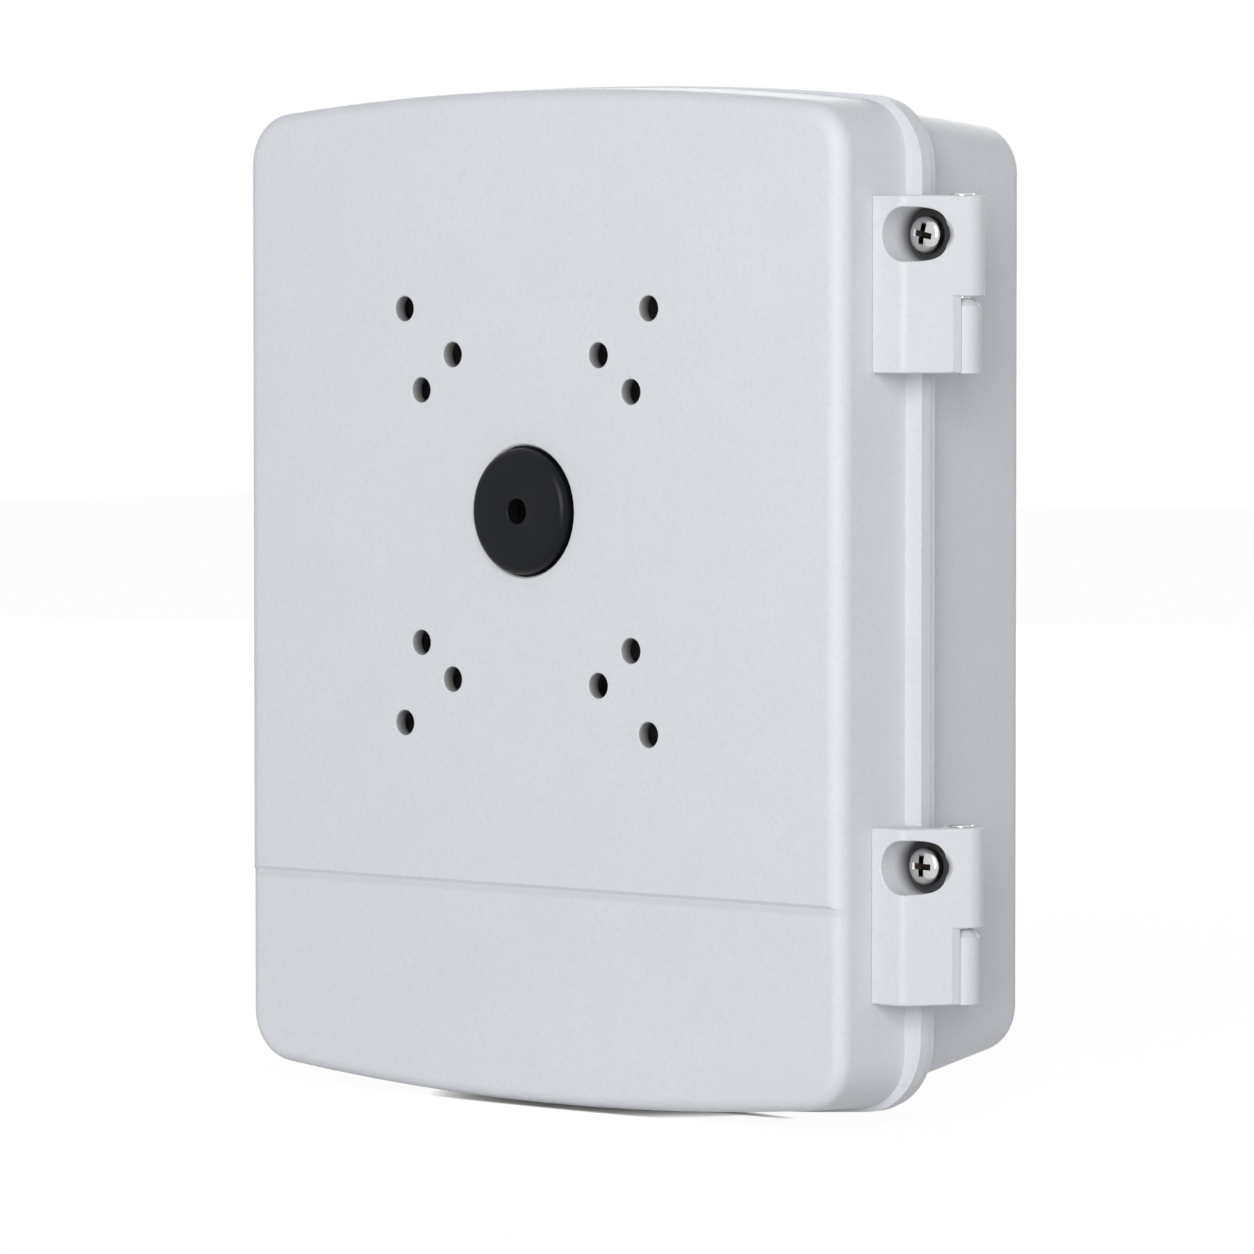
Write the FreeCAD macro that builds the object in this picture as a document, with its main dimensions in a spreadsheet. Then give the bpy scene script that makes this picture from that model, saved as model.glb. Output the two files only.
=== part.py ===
"""Camera junction box: a die-cast wall box whose hinged front cover carries a camera.

Millimetres. The origin is on the back face that lies on the wall, in line with the middle of
the cover. X runs to the right seen from the front, -Y points to the front and +Z is up.
"""
import FreeCAD, Part
import Sketcher
import math
import os

SIZES = [
    # Front cover: a shallow casting with bowed top and bottom edges
    ("cover_width", 265.4, "across the front face"),
    ("cover_height", 333.0, "at the middle of the front face"),
    ("cover_bow_drop", 7.5, "how far the bowed edges fall from the middle to the sides"),
    ("cover_corner_radius", 17.0, "corners of the front outline"),
    ("cover_depth", 35.4, "front face to the back of the cover's flange"),
    ("cover_draft", 2.0, "draft of the cover's walls, degrees"),
    ("cover_edge_radius", 6.0, "rounding of the front edge"),
    ("cover_front_wall", 4.6, "thickness of the front wall"),
    ("cover_side_wall", 5.0, "thickness of the side walls"),
    ("cavity_edge_radius", 3.0, "rounding inside the front wall"),
    ("step_margin", 72.1, "step line above the middle of the bottom edge"),
    ("step_depth", 1.0, "how far the lower panel lies behind the upper one"),
    ("step_rise", 1.2, "height of the step's slope"),
    # Flanges and the seam between cover and housing
    ("flange_side", 7.8, "cover flange beyond the front outline, each side"),
    ("flange_end", 1.5, "cover flange beyond the front outline, top and bottom"),
    ("flange_bow_drop", 6.8, "fall of the flange's bowed edges at the sides"),
    ("flange_corner_radius", 24.0, "corners of the cover flange"),
    ("cover_flange_thick", 4.4, "cover flange"),
    ("housing_flange_thick", 2.5, "housing flange"),
    ("flange_inset", 0.6, "housing flange inside the cover flange"),
    ("seam_gap", 0.3, "gap that the gasket keeps between the flanges"),
    ("gasket_width", 2.6, "gasket cord across its groove"),
    ("gasket_groove_depth", 2.2, "groove in the back of the cover"),
    ("gasket_inset", 1.2, "groove inside the cover's outer wall"),
    ("gasket_relief", 0.05, "gap left at the gasket's sealing face"),
    # Camera interface on the front face
    ("pattern_level", 25.9, "height of the pattern's centre"),
    ("pattern_side", 3.6, "pattern's centre left of the cover's middle"),
    ("outer_hole_x", 54.7, "outer holes, from the centre"),
    ("outer_hole_z", 69.0, "outer holes, from the centre"),
    ("middle_hole_x", 32.7, "middle holes, from the centre"),
    ("middle_hole_z", 53.8, "middle holes, from the centre"),
    ("inner_hole_x", 47.0, "inner holes, from the centre"),
    ("inner_hole_z", 42.0, "inner holes, from the centre"),
    ("camera_hole_radius", 4.2, "fine clearance for an M8 screw"),
    ("hole_chamfer", 0.3, "edge break of the holes"),
    ("opening_rise", 2.5, "centre opening above the pattern's centre"),
    ("opening_radius", 21.65, "centre opening"),
    ("opening_chamfer", 0.6, "edge break of the centre opening"),
    # Rubber cable plug in the centre opening
    ("plug_face_inset", 0.85, "front face of the plug inside the opening"),
    ("plug_proud", 3.9, "how far the plug stands out of the front face"),
    ("plug_edge_radius", 2.4, "rounding of the plug's front edge"),
    ("plug_neck_start", 1.6, "front end of the neck that fills the opening"),
    ("plug_neck_clearance", 0.1, "neck inside the opening"),
    ("plug_lip_overlap", 3.35, "retaining lip outside the opening"),
    ("plug_lip_thick", 3.0, "retaining lip"),
    ("plug_tail_inset", 2.65, "end of the tapered tail inside the opening"),
    ("plug_tail_depth", 12.0, "front face to the tail's end"),
    ("plug_wall", 5.0, "wall round the hollow in the back of the plug"),
    ("plug_web_thick", 5.0, "front web that the cable passes through"),
    ("cable_hole_radius", 4.1, "cable hole in the plug"),
    # Rear housing: a deeper casting with drafted walls
    ("housing_depth", 59.3, "back face to the housing's sealing face"),
    ("housing_front_side", 0.8, "walls at the flange outside the cover's front outline, each side"),
    ("housing_front_end", 3.35, "walls at the flange inside the cover's front outline, each end"),
    ("housing_front_corner", 18.0, "corner at the flange"),
    ("housing_rear_side", 3.3, "walls at the back inside the cover's front outline, each side"),
    ("housing_rear_end", 10.15, "walls at the back inside the cover's front outline, each end"),
    ("housing_front_rise", 1.05, "middle of the walls at the flange above the cover's middle"),
    ("housing_rear_rise", 3.35, "middle of the back outline above the cover's middle"),
    ("housing_rear_corner", 16.0, "corner at the back face"),
    ("housing_bow_drop", 7.0, "fall of the housing's bowed walls at the sides"),
    ("housing_wall", 4.0, "side walls"),
    ("housing_back_wall", 5.0, "back wall"),
    ("housing_back_radius", 5.0, "rounding of the back edge"),
    ("wall_hole_side", 25.7, "wall fixing holes inside the cover's sides"),
    ("wall_hole_end", 36.5, "wall fixing holes inside the cover's top and bottom"),
    ("wall_hole_radius", 4.5, "clearance for an M8 screw"),
    # Hinge on the right-hand side
    ("pin_offset", 6.0, "hinge pins outside the block's screw"),
    ("hinge_setback", 1.7, "hinge pins behind the housing's sealing face"),
    ("block_height", 56.3, "hinge blocks and closure lugs"),
    ("upper_block_margin", 35.9, "upper block below the cover's top"),
    ("lower_block_margin", 40.1, "lower block above the cover's bottom"),
    ("block_depth", 20.4, "front of the blocks in front of the cover's back"),
    ("block_face_angle", 57.0, "turn of the blocks' slanted face, degrees"),
    ("block_corner_radius", 3.5, "front corner of the blocks"),
    ("block_edge_radius", 0.8, "small edge rounding of the blocks"),
    ("barrel_radius", 7.3, "barrel of the blocks round the pin"),
    ("tab_reach", 8.6, "tab of the cover flange that carries a block"),
    ("tab_end_margin", 4.0, "tab ends inside the block's top and notch"),
    ("tab_clearance", 0.2, "block round the tab"),
    ("notch_drop", 31.9, "top of the notch below the block's top"),
    ("notch_wall_offset", 3.3, "notch wall outside the pin axis, at the slanted face"),
    ("notch_wall_lean", 15.0, "turn of the notch wall from the front-to-back line, degrees"),
    ("knuckle_radius", 6.2, "housing knuckle round the pin"),
    ("knuckle_clearance", 0.3, "block round the knuckle"),
    ("knuckle_top_gap", 0.6, "knuckle below the notch's top"),
    ("knuckle_chamfer", 2.4, "edge break on the knuckle's top"),
    ("web_angle", 60.0, "where the web leaves the knuckle, degrees from the right"),
    ("web_setback", 0.5, "knuckle web behind the housing's sealing face"),
    ("pin_radius", 2.5, "hinge pin"),
    ("pin_head_radius", 4.0, "head of the hinge pin"),
    ("pin_head_height", 0.7, "head of the hinge pin"),
    ("pin_head_chamfer", 0.3, "edge break of the pin's head"),
    ("pin_running_clearance", 0.05, "knuckle bore round the pin"),
    ("seat_clearance", 0.02, "bores round pieces that are fixed in them"),
    # Screws in the blocks and lugs
    ("pocket_wall", 4.4, "screw pocket outside the cover's front outline"),
    ("side_screw_drop", 12.3, "hinge and closure screws below the block's top"),
    ("pocket_radius", 8.6, "screw pocket"),
    ("pocket_floor_thick", 6.1, "pocket floor in front of the cover's back"),
    ("screw_radius", 2.5, "M5 shank"),
    ("screw_hole_clearance", 0.25, "clearance hole round a shank"),
    ("screw_head_radius", 6.0, "pan head"),
    ("screw_head_height", 3.5, "pan head"),
    ("screw_head_rounding", 1.8, "front edge of a pan head"),
    ("recess_reach", 3.2, "cross recess, from the axis to an arm's end"),
    ("recess_half_width", 0.75, "half the width of a recess arm"),
    ("recess_depth", 2.0, "cross recess"),
    ("washer_radius", 5.6, "spring washer"),
    ("washer_thick", 1.2, "spring washer"),
    ("washer_bore_clearance", 0.2, "washer round a shank"),
    ("washer_split", 0.9, "gap of the spring washer"),
    ("screw_end_margin", 0.4, "hinge screw end in front of the seam"),
    # Closure lugs on the left-hand side
    ("lug_wall", 0.8, "closure lug outside its screw pocket"),
    ("lug_setback", 5.0, "front of the closure lugs behind the front of the hinge blocks"),
    ("lug_back_thick", 12.0, "housing lug at its outer end"),
    ("lug_gusset", 16.0, "length of the gusset behind a housing lug"),
    ("closure_reach", 9.0, "closure screw beyond the housing's sealing face"),
    ("closure_bore_radius", 3.3, "bore of the housing lug, wide enough for the screw's arc"),
    ("closure_bore_margin", 1.5, "bore of the housing lug beyond the screw"),
    # Mounting plate and its fixings
    ("plate_side", 39.7, "mounting plate inside the cover's sides"),
    ("plate_end", 48.5, "mounting plate inside the cover's top and bottom"),
    ("plate_thick", 2.0, "mounting plate"),
    ("plate_corner_radius", 6.0, "corners of the plate"),
    ("plate_hole_side", 9.0, "plate screws inside the plate's sides"),
    ("plate_hole_end", 10.0, "plate screws inside the plate's top and bottom"),
    ("plate_slot_side", 35.0, "tie slots inside the plate's sides"),
    ("plate_slot_length", 26.0, "tie slots"),
    ("plate_slot_width", 5.0, "tie slots"),
    ("boss_radius", 6.0, "bosses under the plate"),
    ("boss_height", 10.0, "bosses on the back wall"),
    ("plate_screw_radius", 2.0, "M4 shank"),
    ("plate_screw_head_radius", 4.0, "M4 pan head"),
    ("plate_screw_head_height", 2.6, "M4 pan head"),
    ("plate_screw_reach", 8.0, "M4 shank behind the plate"),
    ("plate_bore_margin", 1.0, "tapped bore beyond the screw's end"),
    # Terminal block
    ("terminal_level", 40.0, "height of the terminal block's centre"),
    ("way_pitch", 12.0, "from one way to the next"),
    ("way_count", 6, "number of ways"),
    ("terminal_height", 24.0, "terminal base, up and down"),
    ("terminal_depth", 20.0, "terminal base, out from the plate"),
    ("terminal_end_wall", 3.0, "wall outside the last way"),
    ("ear_length", 9.0, "fixing ear at each end"),
    ("ear_thick", 5.0, "fixing ear"),
    ("cell_width", 8.0, "cell of a way"),
    ("cell_height", 12.0, "cell of a way"),
    ("cell_depth", 15.0, "cell of a way"),
    ("cage_clearance", 0.1, "cage inside its cell"),
    ("cage_depth", 9.0, "clamp cage"),
    ("wire_hole_radius", 2.3, "wire hole through a cage"),
    ("wire_level", 3.8, "wire hole above the cell's floor"),
    ("clamp_screw_radius", 1.7, "clamp screw shank"),
    ("clamp_head_radius", 2.7, "clamp screw head"),
    ("clamp_head_height", 2.0, "clamp screw head"),
    ("clamp_screw_reach", 2.4, "clamp screw below the cage's top"),
    ("slot_width", 0.8, "screwdriver slot"),
    ("slot_depth", 1.0, "screwdriver slot"),
    # Earth point on the mounting plate
    ("earth_side", 31.0, "earth bolt inside the plate's left side"),
    ("earth_end", 40.0, "earth bolt above the plate's bottom"),
    ("earth_radius", 3.0, "M6 shank"),
    ("earth_head_flats", 10.0, "across the flats of bolt head and nut"),
    ("earth_head_thick", 4.0, "bolt head behind the plate"),
    ("earth_nut_thick", 5.0, "nut"),
    ("earth_washer_radius", 6.2, "washer"),
    ("earth_washer_thick", 1.4, "washer"),
    ("earth_bolt_spare", 5.0, "bolt beyond the nut"),
    # Blanking plugs of the cable entries in the bottom wall
    ("entry_count", 3, "number of entries"),
    ("entry_pitch", 60.0, "from one entry to the next"),
    ("entry_depth", 28.0, "entries in front of the back face"),
    ("entry_face_margin", 8.0, "spot face above the cover's bottom"),
    ("entry_boss_wall", 5.0, "boss outside its entry's thread"),
    ("entry_boss_height", 11.0, "boss round an entry"),
    ("entry_stock", 1.0, "cast height that the spot face takes off a boss"),
    ("entry_radius", 10.0, "M20 thread of a blanking plug"),
    ("entry_clearance", 0.1, "entry bore round the plug"),
    ("entry_head_overlap", 3.0, "head of a blanking plug outside its thread"),
    ("entry_head_thick", 3.0, "head of a blanking plug"),
    ("entry_seal_thick", 1.5, "seal under the head"),
    ("entry_seal_margin", 0.8, "seal inside the head's edge"),
    ("entry_nut_wall", 3.0, "locknut outside the thread, at the flats"),
    ("entry_nut_thick", 4.0, "locknut"),
    ("entry_wall", 2.0, "wall of the hollow plug"),
    ("entry_spare", 1.5, "plug beyond the locknut"),
]

UP = FreeCAD.Vector(0, 0, 1)
TOLERANCE = 1e-4

doc = FreeCAD.newDocument("CameraJunctionBox")


class Length:
    """A number kept together with the expression that gives it in the document."""

    def __init__(self, number, text):
        self.number = float(number)
        self.text = text

    def __add__(self, other):
        other = length(other)
        return Length(self.number + other.number, "(%s + %s)" % (self.text, other.text))

    def __sub__(self, other):
        other = length(other)
        return Length(self.number - other.number, "(%s - %s)" % (self.text, other.text))

    def __rsub__(self, other):
        return length(other) - self

    def __mul__(self, other):
        other = length(other)
        return Length(self.number * other.number, "(%s * %s)" % (self.text, other.text))

    __radd__ = __add__
    __rmul__ = __mul__

    def __truediv__(self, other):
        other = length(other)
        return Length(self.number / other.number, "(%s / %s)" % (self.text, other.text))

    def __neg__(self):
        return Length(-self.number, "(0 - %s)" % self.text)


def length(value):
    """Plain numbers become lengths whose text is the number itself."""
    if isinstance(value, Length):
        return value
    return Length(value, repr(float(value)))


def tangent(angle):
    return Length(math.tan(math.radians(angle.number)), "tan(%s)" % angle.text)


def sine(angle):
    return Length(math.sin(math.radians(angle.number)), "sin(%s)" % angle.text)


def cosine(angle):
    return Length(math.cos(math.radians(angle.number)), "cos(%s)" % angle.text)


class Sizes:
    """The spreadsheet of driving dimensions, read by name."""

    def __init__(self, rows):
        self.sheet = doc.addObject("Spreadsheet::Sheet", "Sizes")
        self.numbers = {}
        for row, (alias, number, note) in enumerate(rows, start=1):
            self.sheet.set("A%d" % row, str(number))
            self.sheet.setAlias("A%d" % row, alias)
            self.sheet.set("B%d" % row, note)
            self.numbers[alias] = number
        doc.recompute()

    def __getattr__(self, alias):
        return Length(self.numbers[alias], "Sizes." + alias)


size = Sizes(SIZES)


# Sketches and features


def new_body(name, x=0, y=0, z=0):
    """A body whose Placement is bound to the sheet."""
    body = doc.addObject("PartDesign::Body", name)
    body.Label = name
    place = [length(value) for value in (x, y, z)]
    body.Placement.Base = FreeCAD.Vector(*[value.number for value in place])
    for axis, value in zip("xyz", place):
        body.setExpression("Placement.Base." + axis, value.text)
    return body


def new_sketch(body, name, plane, offset=0, x=0, y=0):
    """A sketch on one of the body's origin planes, moved along its normal by offset.

    The front-facing XZ plane has its normal along -Y, so its offset counts towards the front.
    """
    support = [item for item in body.Origin.OriginFeatures if item.Role == plane][0]
    sketch = body.newObject("Sketcher::SketchObject", name)
    sketch.AttachmentSupport = (support, [""])
    sketch.MapMode = "FlatFace"
    place = [length(value) for value in (x, y, offset)]
    base = FreeCAD.Vector(*[value.number for value in place])
    sketch.AttachmentOffset = FreeCAD.Placement(base, FreeCAD.Rotation())
    for axis, value in zip("xyz", place):
        sketch.setExpression("AttachmentOffset.Base." + axis, value.text)
    return sketch


def bind(sketch, kind, *arguments):
    """Adds a dimension whose last argument is a Length, and ties it to the sheet."""
    value = length(arguments[-1])
    index = sketch.addConstraint(Sketcher.Constraint(kind, *arguments[:-1], value.number))
    sketch.setExpression("Constraints[%d]" % index, value.text)


def place_point(sketch, item, position, x, y):
    """Ties a point of a sketch element to its distances from the sketch's origin."""
    for kind, value, axis in (("DistanceX", length(x), -2), ("DistanceY", length(y), -1)):
        if abs(value.number) < TOLERANCE:
            sketch.addConstraint(Sketcher.Constraint("PointOnObject", item, position, axis))
        elif value.number > 0:
            bind(sketch, kind, -1, 1, item, position, value)
        else:
            bind(sketch, kind, item, position, -1, 1, -value)


def add_circle(sketch, x, y, radius):
    x, y, radius = length(x), length(y), length(radius)
    centre = FreeCAD.Vector(x.number, y.number, 0)
    item = sketch.addGeometry(Part.Circle(centre, UP, radius.number))
    place_point(sketch, item, 3, x, y)
    bind(sketch, "Radius", item, radius)


def add_polygon(sketch, points):
    """A closed line path through points, each a pair of lengths."""
    points = [(length(x), length(y)) for x, y in points]
    vectors = [FreeCAD.Vector(x.number, y.number, 0) for x, y in points]
    count = len(points)
    lines = []
    for index in range(count):
        line = Part.LineSegment(vectors[index], vectors[(index + 1) % count])
        lines.append(sketch.addGeometry(line))
    for index in range(count):
        following = lines[(index + 1) % count]
        sketch.addConstraint(Sketcher.Constraint("Coincident", lines[index], 2, following, 1))
    for line, (x, y) in zip(lines, points):
        place_point(sketch, line, 1, x, y)


def add_rectangle(sketch, left, right, bottom, top):
    add_polygon(sketch, [(left, bottom), (right, bottom), (right, top), (left, top)])


def add_hexagon(sketch, flats):
    """A hexagon round the sketch's origin, with two sides parallel to its second axis."""
    half = flats / 2
    corner = half / cosine(length(30))
    side = corner / 2
    points = [(half, -side), (half, side), (0, corner), (-half, side), (-half, -side), (0, -corner)]
    add_polygon(sketch, points)


def add_bowed_outline(sketch, form):
    """The box's outline: straight sides, bowed top and bottom, and rounded corners."""
    half_width, half_height, bow, corner = form
    w, h, big, r = [value.number for value in form]
    level = h - big
    cx = w - r
    cy = level + math.sqrt((big - r) ** 2 - cx ** 2)
    turn = math.atan2(cy - level, cx)

    def arc(x, y, radius, start, end):
        circle = Part.Circle(FreeCAD.Vector(x, y, 0), UP, radius)
        return sketch.addGeometry(Part.ArcOfCircle(circle, start, end))

    def line(x, low, high):
        ends = FreeCAD.Vector(x, low, 0), FreeCAD.Vector(x, high, 0)
        return sketch.addGeometry(Part.LineSegment(*ends))

    top = arc(0, level, big, turn, math.pi - turn)
    bottom = arc(0, -level, big, math.pi + turn, 2 * math.pi - turn)
    corners = [
        arc(cx, cy, r, 0, turn),
        arc(-cx, cy, r, math.pi - turn, math.pi),
        arc(-cx, -cy, r, math.pi, math.pi + turn),
        arc(cx, -cy, r, 2 * math.pi - turn, 2 * math.pi),
    ]
    right = line(w, -cy, cy)
    left = line(-w, cy, -cy)
    chain = [right, corners[0], top, corners[1], left, corners[2], bottom, corners[3]]
    for first, second in zip(chain, chain[1:] + chain[:1]):
        sketch.addConstraint(Sketcher.Constraint("Tangent", first, 2, second, 1))
    sketch.addConstraint(Sketcher.Constraint("Vertical", right))
    sketch.addConstraint(Sketcher.Constraint("Vertical", left))
    for bowed in (top, bottom):
        sketch.addConstraint(Sketcher.Constraint("PointOnObject", bowed, 3, -2))
    bind(sketch, "DistanceX", -1, 1, right, 1, half_width)
    bind(sketch, "DistanceX", left, 1, -1, 1, half_width)
    bind(sketch, "DistanceY", top, 3, -1, 1, bow - half_height)
    bind(sketch, "DistanceY", -1, 1, bottom, 3, bow - half_height)
    bind(sketch, "Radius", top, bow)
    sketch.addConstraint(Sketcher.Constraint("Equal", top, bottom))
    bind(sketch, "Radius", corners[0], corner)
    for item in corners[1:]:
        sketch.addConstraint(Sketcher.Constraint("Equal", corners[0], item))


def bowed_form(width, height, drop, corner):
    """Half width, half height, bow radius and corner radius of a bowed outline."""
    half = width / 2
    bow = (half * half + drop * drop) / (2 * drop)
    return half, height / 2, bow, corner


def grown(form, by):
    """The parallel outline at a distance: outwards, or inwards if by is negative."""
    return tuple(value + by for value in form)


def extrude(kind, body, name, sketch, depth, reverse=False, both_ways=False, taper=None):
    feature = body.newObject("PartDesign::" + kind, name)
    feature.Profile = sketch
    feature.setExpression("Length", length(depth).text)
    feature.Reversed = reverse
    feature.Midplane = both_ways
    if taper is not None:
        feature.setExpression("TaperAngle", taper.text)
    body.Tip = feature
    doc.recompute()
    return feature


def pad(body, name, sketch, depth, **options):
    return extrude("Pad", body, name, sketch, depth, **options)


def pocket(body, name, sketch, depth, **options):
    """A cut; it has to take material away, or the model stops here."""
    before = body.Tip.Shape.Volume
    feature = extrude("Pocket", body, name, sketch, depth, **options)
    if feature.Shape.Volume > before - TOLERANCE:
        raise RuntimeError(body.Label + "." + name + " cuts nothing")
    return feature


def revolve(body, name, sketch, axis="V_Axis"):
    feature = body.newObject("PartDesign::Revolution", name)
    feature.Profile = sketch
    feature.ReferenceAxis = (sketch, [axis])
    feature.Angle = 360
    body.Tip = feature
    doc.recompute()
    return feature


def loft(kind, body, name, first, second):
    feature = body.newObject("PartDesign::" + kind, name)
    feature.Profile = first
    feature.Sections = [second]
    feature.Ruled = True
    body.Tip = feature
    doc.recompute()
    return feature


def edges_where(feature, test):
    """Names of the edges that pass a test."""
    edges = enumerate(feature.Shape.Edges, start=1)
    return ["Edge%d" % index for index, edge in edges if test(edge)]


def level_test(axis, level):
    """True for an edge that lies wholly at one level of an axis."""
    wanted = level.number

    def test(edge):
        middle = getattr(edge.CenterOfMass, axis)
        ends = [getattr(vertex, axis.upper()) for vertex in edge.Vertexes]
        return all(abs(value - wanted) < TOLERANCE for value in ends + [middle])

    return test


def upright_at(x, y):
    """True for an edge that runs along Z through one point of the plan."""
    def test(edge):
        points = [vertex.Point for vertex in edge.Vertexes]
        near = [abs(p.x - x.number) < TOLERANCE and abs(p.y - y.number) < TOLERANCE for p in points]
        return len(points) == 2 and all(near)

    return test


def dress(kind, body, name, feature, edges, amount):
    """A fillet or a chamfer on named edges of the feature before it."""
    if not edges:
        raise RuntimeError(body.Label + "." + name + " finds no edge")
    finish = body.newObject("PartDesign::" + kind, name)
    finish.Base = (feature, edges)
    finish.setExpression("Radius" if kind == "Fillet" else "Size", amount.text)
    body.Tip = finish
    doc.recompute()
    return finish


# Levels and outlines that several pieces share

cover_half_width = size.cover_width / 2
cover_half_height = size.cover_height / 2
step_level = size.step_margin - cover_half_height
opening_level = size.pattern_level + size.opening_rise
flange_width = size.cover_width + 2 * size.flange_side
flange_height = size.cover_height + 2 * size.flange_end
housing_front_width = size.cover_width + 2 * size.housing_front_side
housing_front_height = size.cover_height - 2 * size.housing_front_end
housing_rear_width = size.cover_width - 2 * size.housing_rear_side
housing_rear_height = size.cover_height - 2 * size.housing_rear_end
wall_hole_x = cover_half_width - size.wall_hole_side
wall_hole_z = cover_half_height - size.wall_hole_end
side_screw_x = cover_half_width + size.pocket_wall + size.pocket_radius
hinge_axis_x = side_screw_x + size.pin_offset
lug_reach = side_screw_x + size.pocket_radius + size.lug_wall
upper_block_base = cover_half_height - size.upper_block_margin - size.block_height
lower_block_base = size.lower_block_margin - cover_half_height
block_inset = size.cover_depth - size.block_depth
pocket_floor = size.cover_depth - size.pocket_floor_thick
plug_face_radius = size.opening_radius - size.plug_face_inset
plug_lip_radius = size.opening_radius + size.plug_lip_overlap
plug_tail_radius = size.opening_radius - size.plug_tail_inset
plug_hollow_radius = plug_tail_radius - size.plug_wall
plate_width = size.cover_width - 2 * size.plate_side
plate_height = size.cover_height - 2 * size.plate_end
plate_hole_x = plate_width / 2 - size.plate_hole_side
plate_hole_z = plate_height / 2 - size.plate_hole_end
plate_slot_x = plate_width / 2 - size.plate_slot_side
earth_x = size.earth_side - plate_width / 2
earth_z = size.earth_end - plate_height / 2
entry_face_level = size.entry_face_margin - cover_half_height
entry_boss_radius = size.entry_radius + size.entry_boss_wall
entry_head_radius = size.entry_radius + size.entry_head_overlap
entry_nut_flats = 2 * (size.entry_radius + size.entry_nut_wall)
entry_count = int(size.entry_count.number)
way_count = int(size.way_count.number)
front_level = size.housing_depth + size.seam_gap + size.cover_depth
cover_back_level = size.housing_depth + size.seam_gap
ledge_level = cover_back_level + size.cover_flange_thick
cover_wall_depth = size.cover_depth - size.cover_flange_thick
inner_front_level = front_level - size.cover_front_wall
draft_slope = tangent(size.cover_draft)
cover_form = bowed_form(
    size.cover_width, size.cover_height, size.cover_bow_drop, size.cover_corner_radius
)
flange_form = bowed_form(
    flange_width, flange_height, size.flange_bow_drop, size.flange_corner_radius
)
gasket_form = grown(cover_form, size.cover_depth * draft_slope - size.gasket_inset)
hinge_y = size.hinge_setback - size.housing_depth
plate_back_level = size.housing_back_wall + size.boss_height
plate_front_level = plate_back_level + size.plate_thick
block_bases = {"upper": upper_block_base, "lower": lower_block_base}
side_screw_height = size.block_height - size.side_screw_drop


def behind_front(depth):
    """Y of a plane that lies a given depth behind the front face."""
    return depth - front_level


def wall_half_width(depth):
    """Half width of the cover's drafted side wall, a given depth behind the front face."""
    return size.cover_width / 2 + depth * draft_slope


def block_plan():
    """Plan points of a hinge block, from the pin axis: both ends of its front face, and the
    point where its slanted face meets the barrel."""
    front = behind_front(block_inset) - hinge_y
    touch_x = size.barrel_radius * sine(size.block_face_angle)
    touch_y = -(size.barrel_radius * cosine(size.block_face_angle))
    corner_x = touch_x - (touch_y - front) / tangent(size.block_face_angle)
    inner_x = wall_half_width(block_inset) - hinge_axis_x
    return (inner_x, front), (corner_x, front), (touch_x, touch_y)


def make_upper_panel():
    """The proud upper part of the cover's front, cut off along the step."""
    body = new_body("upper_panel_form")
    outline = new_sketch(body, "panel_outline", "XZ_Plane", front_level)
    add_bowed_outline(outline, cover_form)
    form = pad(body, "panel_form", outline, cover_wall_depth, reverse=True, taper=size.cover_draft)
    edges = edges_where(form, level_test("y", -front_level))
    dress("Fillet", body, "panel_edge", form, edges, size.cover_edge_radius)
    profile = new_sketch(body, "step_profile", "YZ_Plane")
    margin = size.cover_edge_radius
    bottom = -size.cover_height
    step_foot = step_level - size.step_rise
    add_polygon(profile, [
        (behind_front(-margin), step_level),
        (behind_front(length(0)), step_level),
        (behind_front(size.step_depth), step_foot),
        (margin - ledge_level, step_foot),
        (margin - ledge_level + size.cover_flange_thick, bottom),
        (behind_front(-margin), bottom),
    ])
    pocket(body, "below_step", profile, size.cover_width * 2, both_ways=True)
    return body


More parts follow.
